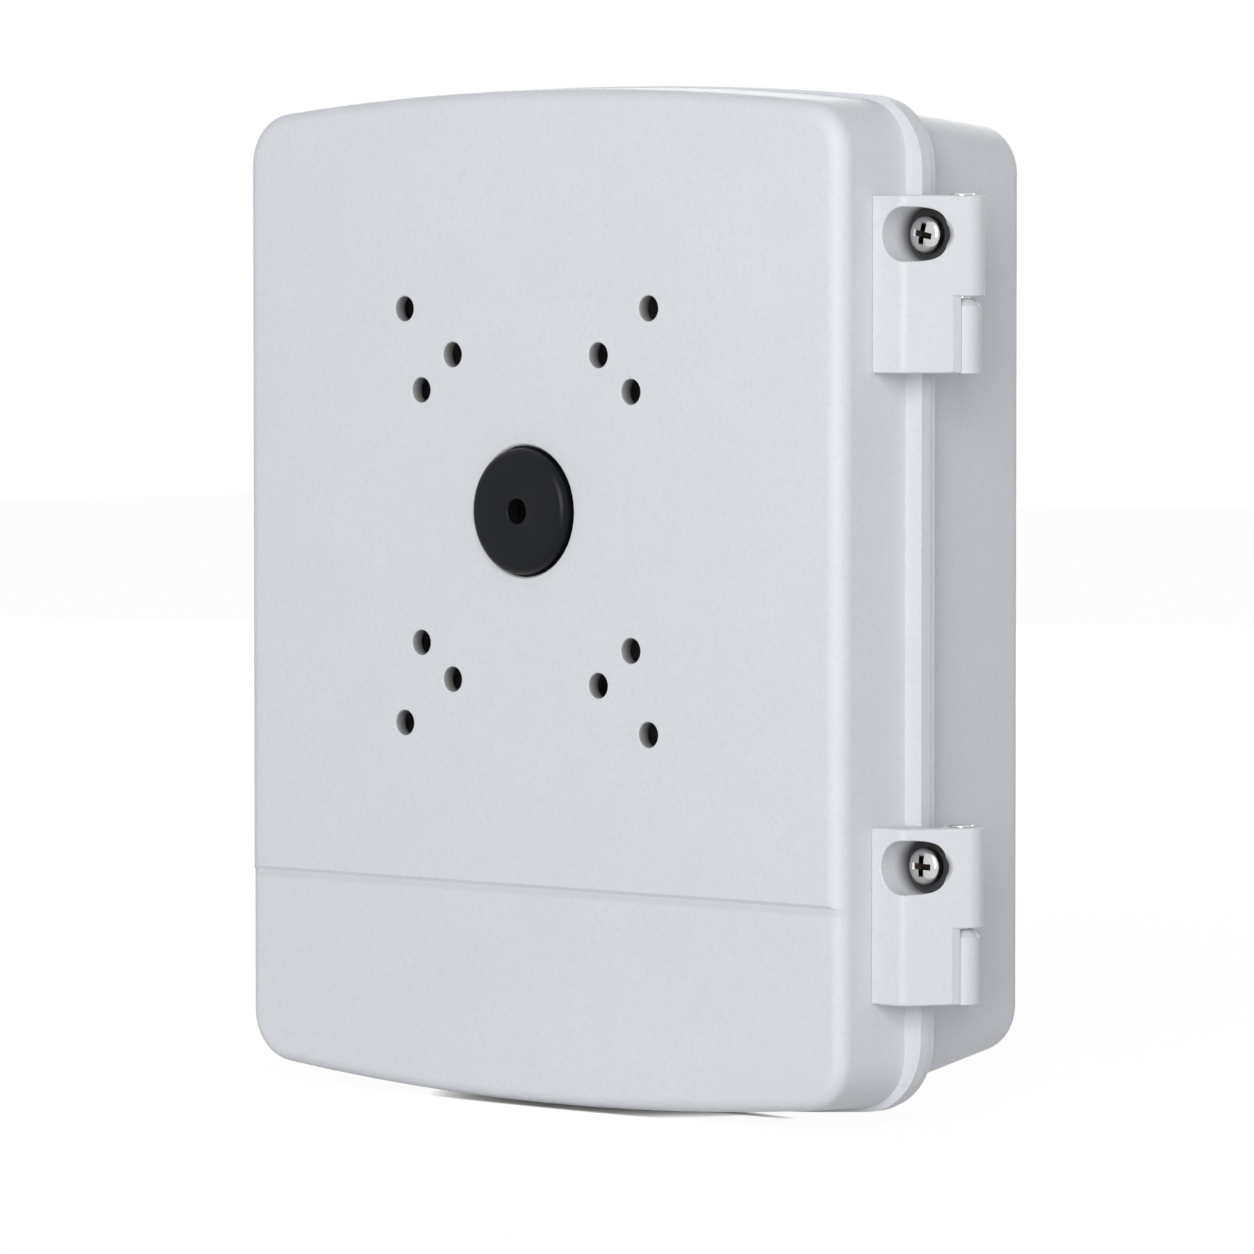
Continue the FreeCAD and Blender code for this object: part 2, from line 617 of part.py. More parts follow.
def make_front_cover():
    """Cover casting: flange, drafted walls, stepped front, holes, tabs and closure lugs."""
    upper_panel = make_upper_panel()
    body = new_body("front_cover")
    lower_growth = size.step_depth * draft_slope
    outline = new_sketch(body, "lower_outline", "XZ_Plane", front_level - size.step_depth)
    add_bowed_outline(outline, grown(cover_form, lower_growth))
    wall_depth = cover_wall_depth - size.step_depth
    form = pad(body, "walls", outline, wall_depth, reverse=True, taper=size.cover_draft)
    edges = edges_where(form, level_test("y", size.step_depth - front_level))
    edge_radius = size.cover_edge_radius - size.step_depth
    dress("Fillet", body, "front_edge", form, edges, edge_radius)
    stepped = body.newObject("PartDesign::Boolean", "stepped_front")
    stepped.Type = "Fuse"
    stepped.addObjects([upper_panel])
    body.Tip = stepped
    doc.recompute()

    flange = new_sketch(body, "flange_outline", "XZ_Plane", cover_back_level)
    add_bowed_outline(flange, flange_form)
    pad(body, "flange", flange, size.cover_flange_thick)

    for name, base in block_bases.items():
        tab_base = base + size.block_height - size.notch_drop + size.tab_end_margin
        tab = new_sketch(body, name + "_tab_plan", "XY_Plane", tab_base)
        inner = flange_width / 2 - size.cover_side_wall
        outer = flange_width / 2 + size.tab_reach
        add_rectangle(tab, inner, outer, -ledge_level, -cover_back_level)
        pad(body, name + "_tab", tab, size.notch_drop - 2 * size.tab_end_margin)
        add_closure_lug(body, name, base)

    cavity = new_sketch(body, "cavity_outline", "XZ_Plane", inner_front_level)
    at_front_wall = size.cover_front_wall * draft_slope - size.cover_side_wall
    add_bowed_outline(cavity, grown(cover_form, at_front_wall))
    cavity_depth = size.cover_depth - size.cover_front_wall
    hollow = pocket(body, "cavity", cavity, cavity_depth, taper=size.cover_draft)
    edges = edges_where(hollow, level_test("y", -inner_front_level))
    dress("Fillet", body, "cavity_edge", hollow, edges, size.cavity_edge_radius)

    groove = new_sketch(body, "gasket_groove_outline", "XZ_Plane",
                        cover_back_level + size.gasket_groove_depth)
    add_bowed_outline(groove, gasket_form)
    add_bowed_outline(groove, grown(gasket_form, -size.gasket_width))
    pocket(body, "gasket_groove", groove, size.gasket_groove_depth)

    camera_holes = new_sketch(body, "camera_holes", "XZ_Plane", front_level, x=-size.pattern_side,
                              y=size.pattern_level)
    for x, z in (
        (size.outer_hole_x, size.outer_hole_z),
        (size.middle_hole_x, size.middle_hole_z),
        (size.inner_hole_x, size.inner_hole_z),
    ):
        add_circle(camera_holes, x, z, size.camera_hole_radius)
    quarter = pocket(body, "quarter_holes", camera_holes, size.cover_front_wall)
    across = body.newObject("PartDesign::Mirrored", "holes_across")
    across.MirrorPlane = (camera_holes, ["V_Axis"])
    down = body.newObject("PartDesign::Mirrored", "holes_down")
    down.MirrorPlane = (camera_holes, ["H_Axis"])
    holes = body.newObject("PartDesign::MultiTransform", "camera_hole_pattern")
    holes.Originals = [quarter]
    holes.Transformations = [across, down]
    body.Tip = holes
    doc.recompute()

    def hole_edge(edge):
        round_edge = isinstance(edge.Curve, Part.Circle)
        return round_edge and abs(edge.Curve.Radius - size.camera_hole_radius.number) < TOLERANCE

    at_front = level_test("y", -front_level)
    edges = edges_where(holes, lambda edge: hole_edge(edge) and at_front(edge))
    chamfered = dress("Chamfer", body, "hole_edges", holes, edges, size.hole_chamfer)

    opening = new_sketch(body, "opening_outline", "XZ_Plane", front_level, x=-size.pattern_side,
                         y=opening_level)
    add_circle(opening, 0, 0, size.opening_radius)
    cut = pocket(body, "opening", opening, size.cover_front_wall)

    def opening_edge(edge):
        round_edge = isinstance(edge.Curve, Part.Circle)
        return round_edge and abs(edge.Curve.Radius - size.opening_radius.number) < TOLERANCE

    edges = edges_where(cut, lambda edge: opening_edge(edge) and at_front(edge))
    dress("Chamfer", body, "opening_edge", cut, edges, size.opening_chamfer)

    for name, base in block_bases.items():
        height = base + side_screw_height
        tapped = new_sketch(body, name + "_tapped_hole", "XZ_Plane", ledge_level)
        add_circle(tapped, side_screw_x, height, size.screw_radius + size.seat_clearance)
        pocket(body, name + "_tapped", tapped, size.cover_flange_thick)
    return body


def add_closure_lug(body, name, base):
    """A lug on the cover's left side, shaped like the hinge blocks, with its screw pocket."""
    corner_x = -(hinge_axis_x + block_plan()[1][0])
    front = behind_front(block_inset + size.lug_setback)
    slope = tangent(size.block_face_angle)
    shoulder = front + (lug_reach + corner_x) * slope
    root_x = size.cover_side_wall / 2 - size.cover_width / 2
    plan = new_sketch(body, name + "_lug_plan", "XY_Plane", base)
    add_polygon(plan, [
        (root_x, front),
        (corner_x, front),
        (-lug_reach, shoulder),
        (-lug_reach, -cover_back_level),
        (root_x, -cover_back_level),
    ])
    lug = pad(body, name + "_lug", plan, size.block_height)

    def outer_corner(edge):
        return upright_at(corner_x, front)(edge) or upright_at(-lug_reach, shoulder)(edge)

    edges = edges_where(lug, outer_corner)
    dress("Fillet", body, name + "_lug_corners", lug, edges, size.block_corner_radius)
    height = base + side_screw_height
    floor = front_level - pocket_floor
    recess = new_sketch(body, name + "_pocket_outline", "XZ_Plane", floor)
    add_circle(recess, -side_screw_x, height, size.pocket_radius)
    pocket(body, name + "_pocket", recess, pocket_floor, reverse=True)
    hole = new_sketch(body, name + "_closure_hole_outline", "XZ_Plane", floor)
    add_circle(hole, -side_screw_x, height, size.screw_radius + size.screw_hole_clearance)
    pocket(body, name + "_closure_hole", hole, floor)


def make_hinge_block(name, base):
    """Casting that carries the pin: it seats on the flange tab and the cover's side wall."""
    body = new_body("hinge_block_" + name, hinge_axis_x, hinge_y, base)
    inner, corner, touch = block_plan()
    seat = -ledge_level - hinge_y
    tab_edge = flange_width / 2 + size.tab_reach + size.tab_clearance - hinge_axis_x
    inner_seat_x = wall_half_width(cover_wall_depth) - hinge_axis_x
    plan = new_sketch(body, "block_plan", "XY_Plane")
    add_polygon(plan, [
        inner, corner, touch, (0, 0), (tab_edge, 0), (tab_edge, seat), (inner_seat_x, seat),
    ])
    pad(body, "block", plan, size.block_height)
    round_plan = new_sketch(body, "barrel_plan", "XY_Plane")
    add_circle(round_plan, 0, 0, size.barrel_radius)
    barrel = pad(body, "barrel", round_plan, size.block_height)
    rounded = dress("Fillet", body, "front_corner", barrel,
                    edges_where(barrel, upright_at(*corner)), size.block_corner_radius)

    def rim(edge):
        flat = level_test("z", length(0))(edge) or level_test("z", size.block_height)(edge)
        outward = edge.CenterOfMass.x > inner_seat_x.number + size.block_corner_radius.number / 2
        return flat and outward and edge.CenterOfMass.y < touch[1].number

    dress("Fillet", body, "rim", rounded, edges_where(rounded, rim), size.block_edge_radius)

    slot = new_sketch(body, "tab_slot", "XY_Plane")
    seam = size.hinge_setback
    add_rectangle(slot, inner_seat_x - size.barrel_radius, tab_edge, seat, -seam)
    pocket(body, "tab_slot_cut", slot, size.block_height, reverse=True)

    notch_height = size.block_height - size.notch_drop
    notch = new_sketch(body, "notch_plan", "XY_Plane")
    clear = size.barrel_radius * 2
    behind = -(size.hinge_setback + size.seam_gap)
    face_y = inner[1] + (size.notch_wall_offset - corner[0]) * tangent(size.block_face_angle)
    lean = tangent(size.notch_wall_lean)
    add_polygon(notch, [
        (size.notch_wall_offset - (face_y - inner[1] + clear) * lean, inner[1] - clear),
        (clear, inner[1] - clear),
        (clear, clear),
        (inner_seat_x - clear, clear),
        (inner_seat_x - clear, behind),
        (size.notch_wall_offset + (behind - face_y) * lean, behind),
    ])
    pocket(body, "notch", notch, notch_height, reverse=True)
    round_notch = new_sketch(body, "knuckle_clearance_plan", "XY_Plane")
    add_circle(round_notch, 0, 0, size.knuckle_radius + size.knuckle_clearance)
    pocket(body, "knuckle_clearance_cut", round_notch, notch_height, reverse=True)

    bore = new_sketch(body, "pin_bore_plan", "XY_Plane")
    add_circle(bore, 0, 0, size.pin_radius + size.seat_clearance)
    pocket(body, "pin_bore", bore, size.block_height, reverse=True)

    screw_x = side_screw_x - hinge_axis_x
    floor = -behind_front(pocket_floor) + hinge_y
    recess = new_sketch(body, "screw_pocket_outline", "XZ_Plane", floor)
    add_circle(recess, screw_x, side_screw_height, size.pocket_radius)
    pocket(body, "screw_pocket", recess, pocket_floor, reverse=True)
    hole = new_sketch(body, "screw_hole_outline", "XZ_Plane", floor)
    add_circle(hole, screw_x, side_screw_height, size.screw_radius + size.screw_hole_clearance)
    pocket(body, "screw_hole", hole, pocket_floor)
    return body


def make_hinge_pin(name, base):
    """Headed pin through the block and the knuckle below it."""
    body = new_body("hinge_pin_" + name, hinge_axis_x, hinge_y, base + size.block_height)
    profile = new_sketch(body, "profile", "XZ_Plane")
    add_polygon(profile, [
        (0, -size.block_height),
        (size.pin_radius, -size.block_height),
        (size.pin_radius, 0),
        (size.pin_head_radius, 0),
        (size.pin_head_radius, size.pin_head_height - size.pin_head_chamfer),
        (size.pin_head_radius - size.pin_head_chamfer, size.pin_head_height),
        (0, size.pin_head_height),
    ])
    revolve(body, "pin", profile)
    return body


def make_pan_screw(name, x, y, z, shank_radius, reach, head_radius, head_height):
    """Cross-recessed pan-head screw that is driven along +Y; its origin is under the head."""
    body = new_body(name, x, y, z)
    profile = new_sketch(body, "profile", "XY_Plane")
    add_polygon(profile, [
        (0, -head_height),
        (head_radius, -head_height),
        (head_radius, 0),
        (shank_radius, 0),
        (shank_radius, reach),
        (0, reach),
    ])
    form = revolve(body, "form", profile)
    scale = head_radius / size.screw_head_radius
    edges = edges_where(form, level_test("y", -head_height))
    edges = [edge for edge in edges if isinstance(form.getSubObject(edge).Curve, Part.Circle)]
    dress("Fillet", body, "head_edge", form, edges, size.screw_head_rounding * scale)
    long_arm = size.recess_reach * scale
    half = size.recess_half_width * scale
    cross = new_sketch(body, "recess_outline", "XZ_Plane", head_height)
    add_polygon(cross, [
        (half, half), (half, long_arm), (-half, long_arm), (-half, half),
        (-long_arm, half), (-long_arm, -half), (-half, -half), (-half, -long_arm),
        (half, -long_arm), (half, -half), (long_arm, -half), (long_arm, half),
    ])
    pocket(body, "recess", cross, size.recess_depth * scale)
    return body


def make_ring(name, x, y, z, plane, bore, rim, thick, reverse=False, split=None):
    """A flat ring; split leaves the gap of a spring washer."""
    body = new_body(name, x, y, z)
    outline = new_sketch(body, "outline", plane)
    add_circle(outline, 0, 0, bore)
    add_circle(outline, 0, 0, rim)
    pad(body, "ring", outline, thick, reverse=reverse)
    if split is not None:
        gap = new_sketch(body, "split_outline", plane)
        add_rectangle(gap, -split / 2, split / 2, 0, rim * 2)
        pocket(body, "split", gap, thick, reverse=not reverse)
    return body


def make_side_screws():
    """Screw and spring washer of each hinge block and of each closure lug."""
    under_head = behind_front(pocket_floor - size.washer_thick)
    hinge_reach = size.cover_depth - pocket_floor + size.washer_thick - size.screw_end_margin
    closure_reach = (size.cover_depth - pocket_floor + size.washer_thick + size.seam_gap
                     + size.closure_reach)
    for kind, x, reach in (
        ("hinge", side_screw_x, hinge_reach),
        ("closure", -side_screw_x, closure_reach),
    ):
        for name, base in block_bases.items():
            height = base + side_screw_height
            make_pan_screw(kind + "_screw_" + name, x, under_head, height, size.screw_radius,
                           reach, size.screw_head_radius, size.screw_head_height)
            make_ring(kind + "_washer_" + name, x, under_head, height, "XZ_Plane",
                      size.screw_radius + size.washer_bore_clearance, size.washer_radius,
                      size.washer_thick, reverse=True, split=size.washer_split)


def make_cover_gasket():
    """Rubber cord in the groove; it stands out of the cover to meet the housing's flange."""
    body = new_body("cover_gasket")
    level = size.housing_depth + size.gasket_relief
    outline = new_sketch(body, "outline", "XZ_Plane", level)
    slack = size.seat_clearance
    add_bowed_outline(outline, grown(gasket_form, -slack))
    add_bowed_outline(outline, grown(gasket_form, slack - size.gasket_width))
    depth = size.gasket_groove_depth + size.seam_gap - size.gasket_relief
    pad(body, "cord", outline, depth)
    return body


def make_cable_plug():
    """Rubber plug turned about the opening's axis: face, neck, retaining lip and hollow tail."""
    body = new_body("cable_plug", -size.pattern_side, -front_level, opening_level)
    neck_radius = size.opening_radius - size.plug_neck_clearance
    wall = size.cover_front_wall + size.seat_clearance
    lip_end = wall + size.plug_lip_thick
    web_back = size.plug_web_thick - size.plug_proud
    profile = new_sketch(body, "profile", "XY_Plane")
    add_polygon(profile, [
        (size.cable_hole_radius, -size.plug_proud),
        (plug_face_radius, -size.plug_proud),
        (plug_face_radius, size.plug_neck_start),
        (neck_radius, size.plug_neck_start),
        (neck_radius, wall),
        (plug_lip_radius, wall),
        (plug_lip_radius, lip_end),
        (plug_tail_radius, size.plug_tail_depth),
        (plug_hollow_radius, size.plug_tail_depth),
        (plug_hollow_radius, web_back),
        (size.cable_hole_radius, web_back),
    ])
    form = revolve(body, "form", profile)

    def rim(edge):
        wide = edge.BoundBox.XLength > size.cable_hole_radius.number * 3
        return wide and level_test("y", -size.plug_proud)(edge)

    dress("Fillet", body, "face_edge", form, edges_where(form, rim), size.plug_edge_radius)
    return body


def make_rear_housing():
    """Housing casting: drafted walls, flange, hinge knuckles, lugs, bosses and cable entries."""
    body = new_body("rear_housing")
    flange_back = size.housing_depth - size.housing_flange_thick
    front_form = bowed_form(housing_front_width, housing_front_height,
                            size.housing_bow_drop, size.housing_front_corner)
    rear_form = bowed_form(housing_rear_width, housing_rear_height,
                           size.housing_bow_drop, size.housing_rear_corner)
    back = new_sketch(body, "back_outline", "XZ_Plane", y=size.housing_rear_rise)
    add_bowed_outline(back, rear_form)
    front = new_sketch(body, "front_outline", "XZ_Plane", flange_back, y=size.housing_front_rise)
    add_bowed_outline(front, front_form)
    walls = loft("AdditiveLoft", body, "walls", back, front)
    edges = edges_where(walls, level_test("y", length(0)))
    dress("Fillet", body, "back_edge", walls, edges, size.housing_back_radius)
    flange = new_sketch(body, "flange_outline", "XZ_Plane", flange_back)
    add_bowed_outline(flange, grown(flange_form, -size.flange_inset))
    pad(body, "flange", flange, size.housing_flange_thick)

    for name, base in block_bases.items():
        add_knuckle(body, name, base)
        add_housing_lug(body, name, base)
    for index in range(entry_count):
        add_entry_boss(body, index)

    inner_back = new_sketch(body, "cavity_back", "XZ_Plane", size.housing_back_wall,
                            y=size.housing_rear_rise)
    add_bowed_outline(inner_back, grown(rear_form, -size.housing_wall))
    inner_front = new_sketch(body, "cavity_front", "XZ_Plane", size.housing_depth,
                             y=size.housing_front_rise)
    add_bowed_outline(inner_front, grown(front_form, -size.housing_wall))
    hollow = loft("SubtractiveLoft", body, "cavity", inner_back, inner_front)
    edges = edges_where(hollow, level_test("y", -size.housing_back_wall))
    dress("Fillet", body, "cavity_edge", hollow, edges, size.cavity_edge_radius)

    bosses = new_sketch(body, "boss_plan", "XZ_Plane", size.housing_back_wall)
    taps = new_sketch(body, "boss_taps", "XZ_Plane", plate_back_level)
    wall_holes = new_sketch(body, "wall_holes", "XZ_Plane", size.housing_back_wall)
    for across in (-1, 1):
        for up in (-1, 1):
            add_circle(bosses, across * plate_hole_x, up * plate_hole_z, size.boss_radius)
            add_circle(taps, across * plate_hole_x, up * plate_hole_z,
                       size.plate_screw_radius + size.seat_clearance)
            add_circle(wall_holes, across * wall_hole_x, up * wall_hole_z,
                       size.wall_hole_radius)
    pad(body, "bosses", bosses, size.boss_height)
    pocket(body, "tapped_bosses", taps, size.plate_screw_reach + size.plate_bore_margin)
    pocket(body, "wall_fixing", wall_holes, size.housing_back_wall)

    for index in range(entry_count):
        cut_entry(body, index)
    return body


def add_knuckle(body, name, base):
    """Hinge knuckle on a web that runs back to the side wall at a slant."""
    height = size.block_height - size.notch_drop - size.knuckle_top_gap
    root_x = housing_rear_width / 2 - size.housing_wall / 2
    web_front = size.web_setback - size.housing_depth
    tip_x = hinge_axis_x + size.knuckle_radius * cosine(size.web_angle)
    tip_y = hinge_y + size.knuckle_radius * sine(size.web_angle)
    plan = new_sketch(body, name + "_web_plan", "XY_Plane", base)
    add_polygon(plan, [
        (root_x, web_front),
        (hinge_axis_x, web_front),
        (tip_x, tip_y),
        (root_x, tip_y + (tip_x - root_x) / tangent(size.web_angle)),
    ])
    pad(body, name + "_web", plan, height)
    round_plan = new_sketch(body, name + "_knuckle_plan", "XY_Plane", base)
    add_circle(round_plan, hinge_axis_x, hinge_y, size.knuckle_radius)
    knuckle = pad(body, name + "_knuckle", round_plan, height)
    top = level_test("z", base + height)

    def rim(edge):
        return top(edge) and isinstance(edge.Curve, Part.Circle)

    dress("Chamfer", body, name + "_knuckle_top", knuckle, edges_where(knuckle, rim),
          size.knuckle_chamfer)
    bore = new_sketch(body, name + "_knuckle_bore_plan", "XY_Plane", base)
    add_circle(bore, hinge_axis_x, hinge_y, size.pin_radius + size.pin_running_clearance)
    pocket(body, name + "_knuckle_bore", bore, height, reverse=True)


def add_housing_lug(body, name, base):
    """Lug that takes a closure screw, with a gusset behind it."""
    root_x = size.housing_wall / 2 - housing_rear_width / 2
    back = size.lug_back_thick - size.housing_depth
    plan = new_sketch(body, name + "_lug_plan", "XY_Plane", base)
    add_polygon(plan, [
        (root_x, -size.housing_depth),
        (-lug_reach, -size.housing_depth),
        (-lug_reach, back),
        (root_x, back + size.lug_gusset),
    ])
    lug = pad(body, name + "_lug", plan, size.block_height)
    edges = edges_where(lug, upright_at(-lug_reach, back))
    dress("Fillet", body, name + "_lug_corner", lug, edges, size.block_corner_radius)
    bore = new_sketch(body, name + "_closure_bore_outline", "XZ_Plane", size.housing_depth)
    add_circle(bore, -side_screw_x, base + side_screw_height, size.closure_bore_radius)
    pocket(body, name + "_closure_bore", bore, size.closure_reach + size.closure_bore_margin)


def entry_x(index):
    return (index - (size.entry_count - 1) / 2) * size.entry_pitch


def add_entry_boss(body, index):
    boss = new_sketch(body, "entry_boss_plan_%d" % (index + 1), "XY_Plane",
                      entry_face_level - size.entry_stock)
    add_circle(boss, entry_x(index), -size.entry_depth, entry_boss_radius)
    pad(body, "entry_boss_%d" % (index + 1), boss, size.entry_boss_height)


def cut_entry(body, index):
    """Inner boss restored through the cavity, spot face below it, and the threaded entry."""
    number = index + 1
    inner = new_sketch(body, "entry_inner_plan_%d" % number, "XY_Plane", entry_face_level)
    add_circle(inner, entry_x(index), -size.entry_depth, entry_boss_radius)
    pad(body, "entry_inner_boss_%d" % number, inner, size.entry_boss_height)
    face = new_sketch(body, "entry_face_plan_%d" % number, "XY_Plane", entry_face_level)
    add_circle(face, entry_x(index), -size.entry_depth, entry_boss_radius)
    pocket(body, "entry_face_%d" % number, face, size.entry_boss_height)
    hole = new_sketch(body, "entry_hole_plan_%d" % number, "XY_Plane", entry_face_level)
    add_circle(hole, entry_x(index), -size.entry_depth, size.entry_radius + size.entry_clearance)
    pocket(body, "entry_hole_%d" % number, hole, size.entry_boss_height, reverse=True)


def make_entry_fittings():
    """Blanking plug, seal and locknut of each cable entry."""
    seal_level = entry_face_level - size.entry_seal_thick
    nut_level = entry_face_level + size.entry_boss_height
    reach = size.entry_seal_thick + size.entry_boss_height + size.entry_nut_thick + size.entry_spare
    for index in range(entry_count):
        number = index + 1
        x = entry_x(index)
        y = -size.entry_depth
        plug = new_body("entry_plug_%d" % number, x, y, seal_level)
        profile = new_sketch(plug, "profile", "XZ_Plane")
        bore = size.entry_radius - size.entry_wall
        add_polygon(profile, [
            (0, -size.entry_head_thick),
            (entry_head_radius, -size.entry_head_thick),
            (entry_head_radius, 0),
            (size.entry_radius, 0),
            (size.entry_radius, reach),
            (bore, reach),
            (bore, 0),
            (0, 0),
        ])
        form = revolve(plug, "form", profile)

        def head_rim(edge):
            low = level_test("z", -size.entry_head_thick)(edge)
            return low and isinstance(edge.Curve, Part.Circle)

        dress("Fillet", plug, "head_edge", form, edges_where(form, head_rim), size.entry_head_thick / 2)
        make_ring("entry_seal_%d" % number, x, y, seal_level, "XY_Plane",
                  size.entry_radius + size.entry_clearance,
                  entry_head_radius - size.entry_seal_margin, size.entry_seal_thick)
        make_nut("entry_nut_%d" % number, x, y, nut_level, "XY_Plane", entry_nut_flats,
                 size.entry_nut_thick, size.entry_radius + size.seat_clearance)


def make_nut(name, x, y, z, plane, flats, thick, bore):
    body = new_body(name, x, y, z)
    outline = new_sketch(body, "outline", plane)
    add_hexagon(outline, flats)
    add_circle(outline, 0, 0, bore)
    pad(body, "nut", outline, thick)
    return body


def make_mounting_plate():
    """Steel plate on the bosses, with tie slots down both sides."""
    body = new_body("mounting_plate", 0, -plate_back_level, 0)
    outline = new_sketch(body, "outline", "XZ_Plane")
    half_width = plate_width / 2
    half_height = plate_height / 2
    add_rectangle(outline, -half_width, half_width, -half_height, half_height)
    sheet = pad(body, "sheet", outline, size.plate_thick)

    def corner(edge):
        return edge.BoundBox.YLength > size.plate_thick.number / 2 and edge.BoundBox.XLength < TOLERANCE

    def upright_corner(edge):
        return corner(edge) and edge.BoundBox.ZLength < TOLERANCE

    dress("Fillet", body, "corners", sheet, edges_where(sheet, upright_corner), size.plate_corner_radius)
    holes = new_sketch(body, "holes", "XZ_Plane", size.plate_thick)
    for across in (-1, 1):
        for up in (-1, 1):
            add_circle(holes, across * plate_hole_x, up * plate_hole_z,
                       size.plate_screw_radius + size.screw_hole_clearance)
        add_circle(holes, across * ear_screw_x(), size.terminal_level,
                   size.plate_screw_radius + size.seat_clearance)
    add_circle(holes, earth_x, earth_z, size.earth_radius + size.seat_clearance)
    pocket(body, "screw_holes", holes, size.plate_thick)
    slots = new_sketch(body, "slots", "XZ_Plane", size.plate_thick)
    half_slot = size.plate_slot_length / 2
    half_gap = size.plate_slot_width / 2
    for across in (-1, 1):
        for up in (-1, 0, 1):
            x = across * plate_slot_x
            z = up * plate_hole_z / 2 - size.plate_slot_length
            add_rectangle(slots, x - half_gap, x + half_gap, z - half_slot, z + half_slot)
    pocket(body, "tie_slots", slots, size.plate_thick)
    return body


def make_plate_screws():
    number = 0
    for up in (1, -1):
        for across in (-1, 1):
            number += 1
            make_pan_screw("plate_screw_%d" % number, across * plate_hole_x, -plate_front_level,
                           up * plate_hole_z, size.plate_screw_radius,
                           size.plate_screw_reach + size.plate_thick,
                           size.plate_screw_head_radius, size.plate_screw_head_height)


def terminal_half_width():
    return size.way_pitch * size.way_count / 2 + size.terminal_end_wall


def ear_screw_x():
    return terminal_half_width() + size.ear_length / 2


def way_x(index):
    return (index - (size.way_count - 1) / 2) * size.way_pitch


def make_terminal_block():
    """Moulded base with a cell for each way, a clamp cage and a slotted screw in each cell."""
    base = new_body("terminal_base", 0, -plate_front_level, size.terminal_level)
    half_height = size.terminal_height / 2
    half_width = terminal_half_width()
    foot = new_sketch(base, "foot_outline", "XZ_Plane")
    full = half_width + size.ear_length
    add_rectangle(foot, -full, full, -half_height, half_height)
    pad(base, "foot", foot, size.ear_thick)
    block = new_sketch(base, "block_outline", "XZ_Plane")
    add_rectangle(block, -half_width, half_width, -half_height, half_height)
    pad(base, "block", block, size.terminal_depth)
    shoulder_depth = size.terminal_depth - size.cell_depth + size.cage_depth + size.clamp_head_height
    shoulder = new_sketch(base, "shoulder_profile", "YZ_Plane")
    outside = half_height + size.terminal_end_wall
    before = size.terminal_depth + size.terminal_end_wall
    for up in (-1, 1):
        add_polygon(shoulder, [
            (-shoulder_depth, up * outside),
            (-shoulder_depth, up * half_height),
            (-size.terminal_depth, up * (half_height - size.terminal_end_wall)),
            (-before, up * (half_height - size.terminal_end_wall)),
            (-before, up * outside),
        ])
    pocket(base, "shoulders", shoulder, half_width * 4, both_ways=True)
    cells = new_sketch(base, "cells", "XZ_Plane", size.terminal_depth)
    half_cell = size.cell_width / 2
    for index in range(way_count):
        x = way_x(index)
        add_rectangle(cells, x - half_cell, x + half_cell, -size.cell_height / 2, size.cell_height / 2)
    pocket(base, "cell_cuts", cells, size.cell_depth)
    wires = new_sketch(base, "wire_entries", "XY_Plane", -size.terminal_height)
    wire_y = size.cell_depth - size.terminal_depth - size.wire_level
    for index in range(way_count):
        add_circle(wires, way_x(index), wire_y, size.wire_hole_radius)
    pocket(base, "wire_cuts", wires, size.terminal_height * 2, reverse=True)
    ears = new_sketch(base, "ear_holes", "XZ_Plane", size.ear_thick)
    for across in (-1, 1):
        add_circle(ears, across * ear_screw_x(), 0, size.plate_screw_radius + size.screw_hole_clearance)
    pocket(base, "ear_hole_cuts", ears, size.ear_thick)

    floor_level = plate_front_level + size.terminal_depth - size.cell_depth
    for index in range(way_count):
        make_way(index, floor_level)
    for number, across in ((1, -1), (2, 1)):
        make_pan_screw("terminal_fixing_screw_%d" % number, across * ear_screw_x(),
                       -(plate_front_level + size.ear_thick), size.terminal_level,
                       size.plate_screw_radius, size.ear_thick + size.plate_thick,
                       size.plate_screw_head_radius, size.plate_screw_head_height)
    return base


def make_way(index, floor_level):
    """Clamp cage and clamp screw of one way."""
    number = index + 1
    x = way_x(index)
    cage = new_body("terminal_cage_%d" % number, x, -floor_level, size.terminal_level)
    outline = new_sketch(cage, "outline", "XZ_Plane")
    half_width = size.cell_width / 2 - size.cage_clearance
    half_height = size.cell_height / 2 - size.cage_clearance
    add_rectangle(outline, -half_width, half_width, -half_height, half_height)
    pad(cage, "block", outline, size.cage_depth)
    wire = new_sketch(cage, "wire_outline", "XY_Plane", -size.cell_height)
    add_circle(wire, 0, -size.wire_level, size.wire_hole_radius)
    pocket(cage, "wire_hole", wire, size.cell_height * 2, reverse=True)
    tap = new_sketch(cage, "tap_outline", "XZ_Plane", size.cage_depth)
    add_circle(tap, 0, 0, size.clamp_screw_radius + size.seat_clearance)
    pocket(cage, "tap", tap, size.cage_depth - size.wire_level)

    screw = new_body("terminal_screw_%d" % number, x, -(floor_level + size.cage_depth),
                     size.terminal_level)
    profile = new_sketch(screw, "profile", "XY_Plane")
    add_polygon(profile, [
        (0, -size.clamp_head_height),
        (size.clamp_head_radius, -size.clamp_head_height),
        (size.clamp_head_radius, 0),
        (size.clamp_screw_radius, 0),
        (size.clamp_screw_radius, size.clamp_screw_reach),
        (0, size.clamp_screw_reach),
    ])
    revolve(screw, "form", profile)
    slot = new_sketch(screw, "slot_outline", "XZ_Plane", size.clamp_head_height)
    half_slot = size.slot_width / 2
    add_rectangle(slot, -half_slot, half_slot, -size.clamp_head_radius * 2, size.clamp_head_radius * 2)
    pocket(screw, "slot", slot, size.slot_depth)


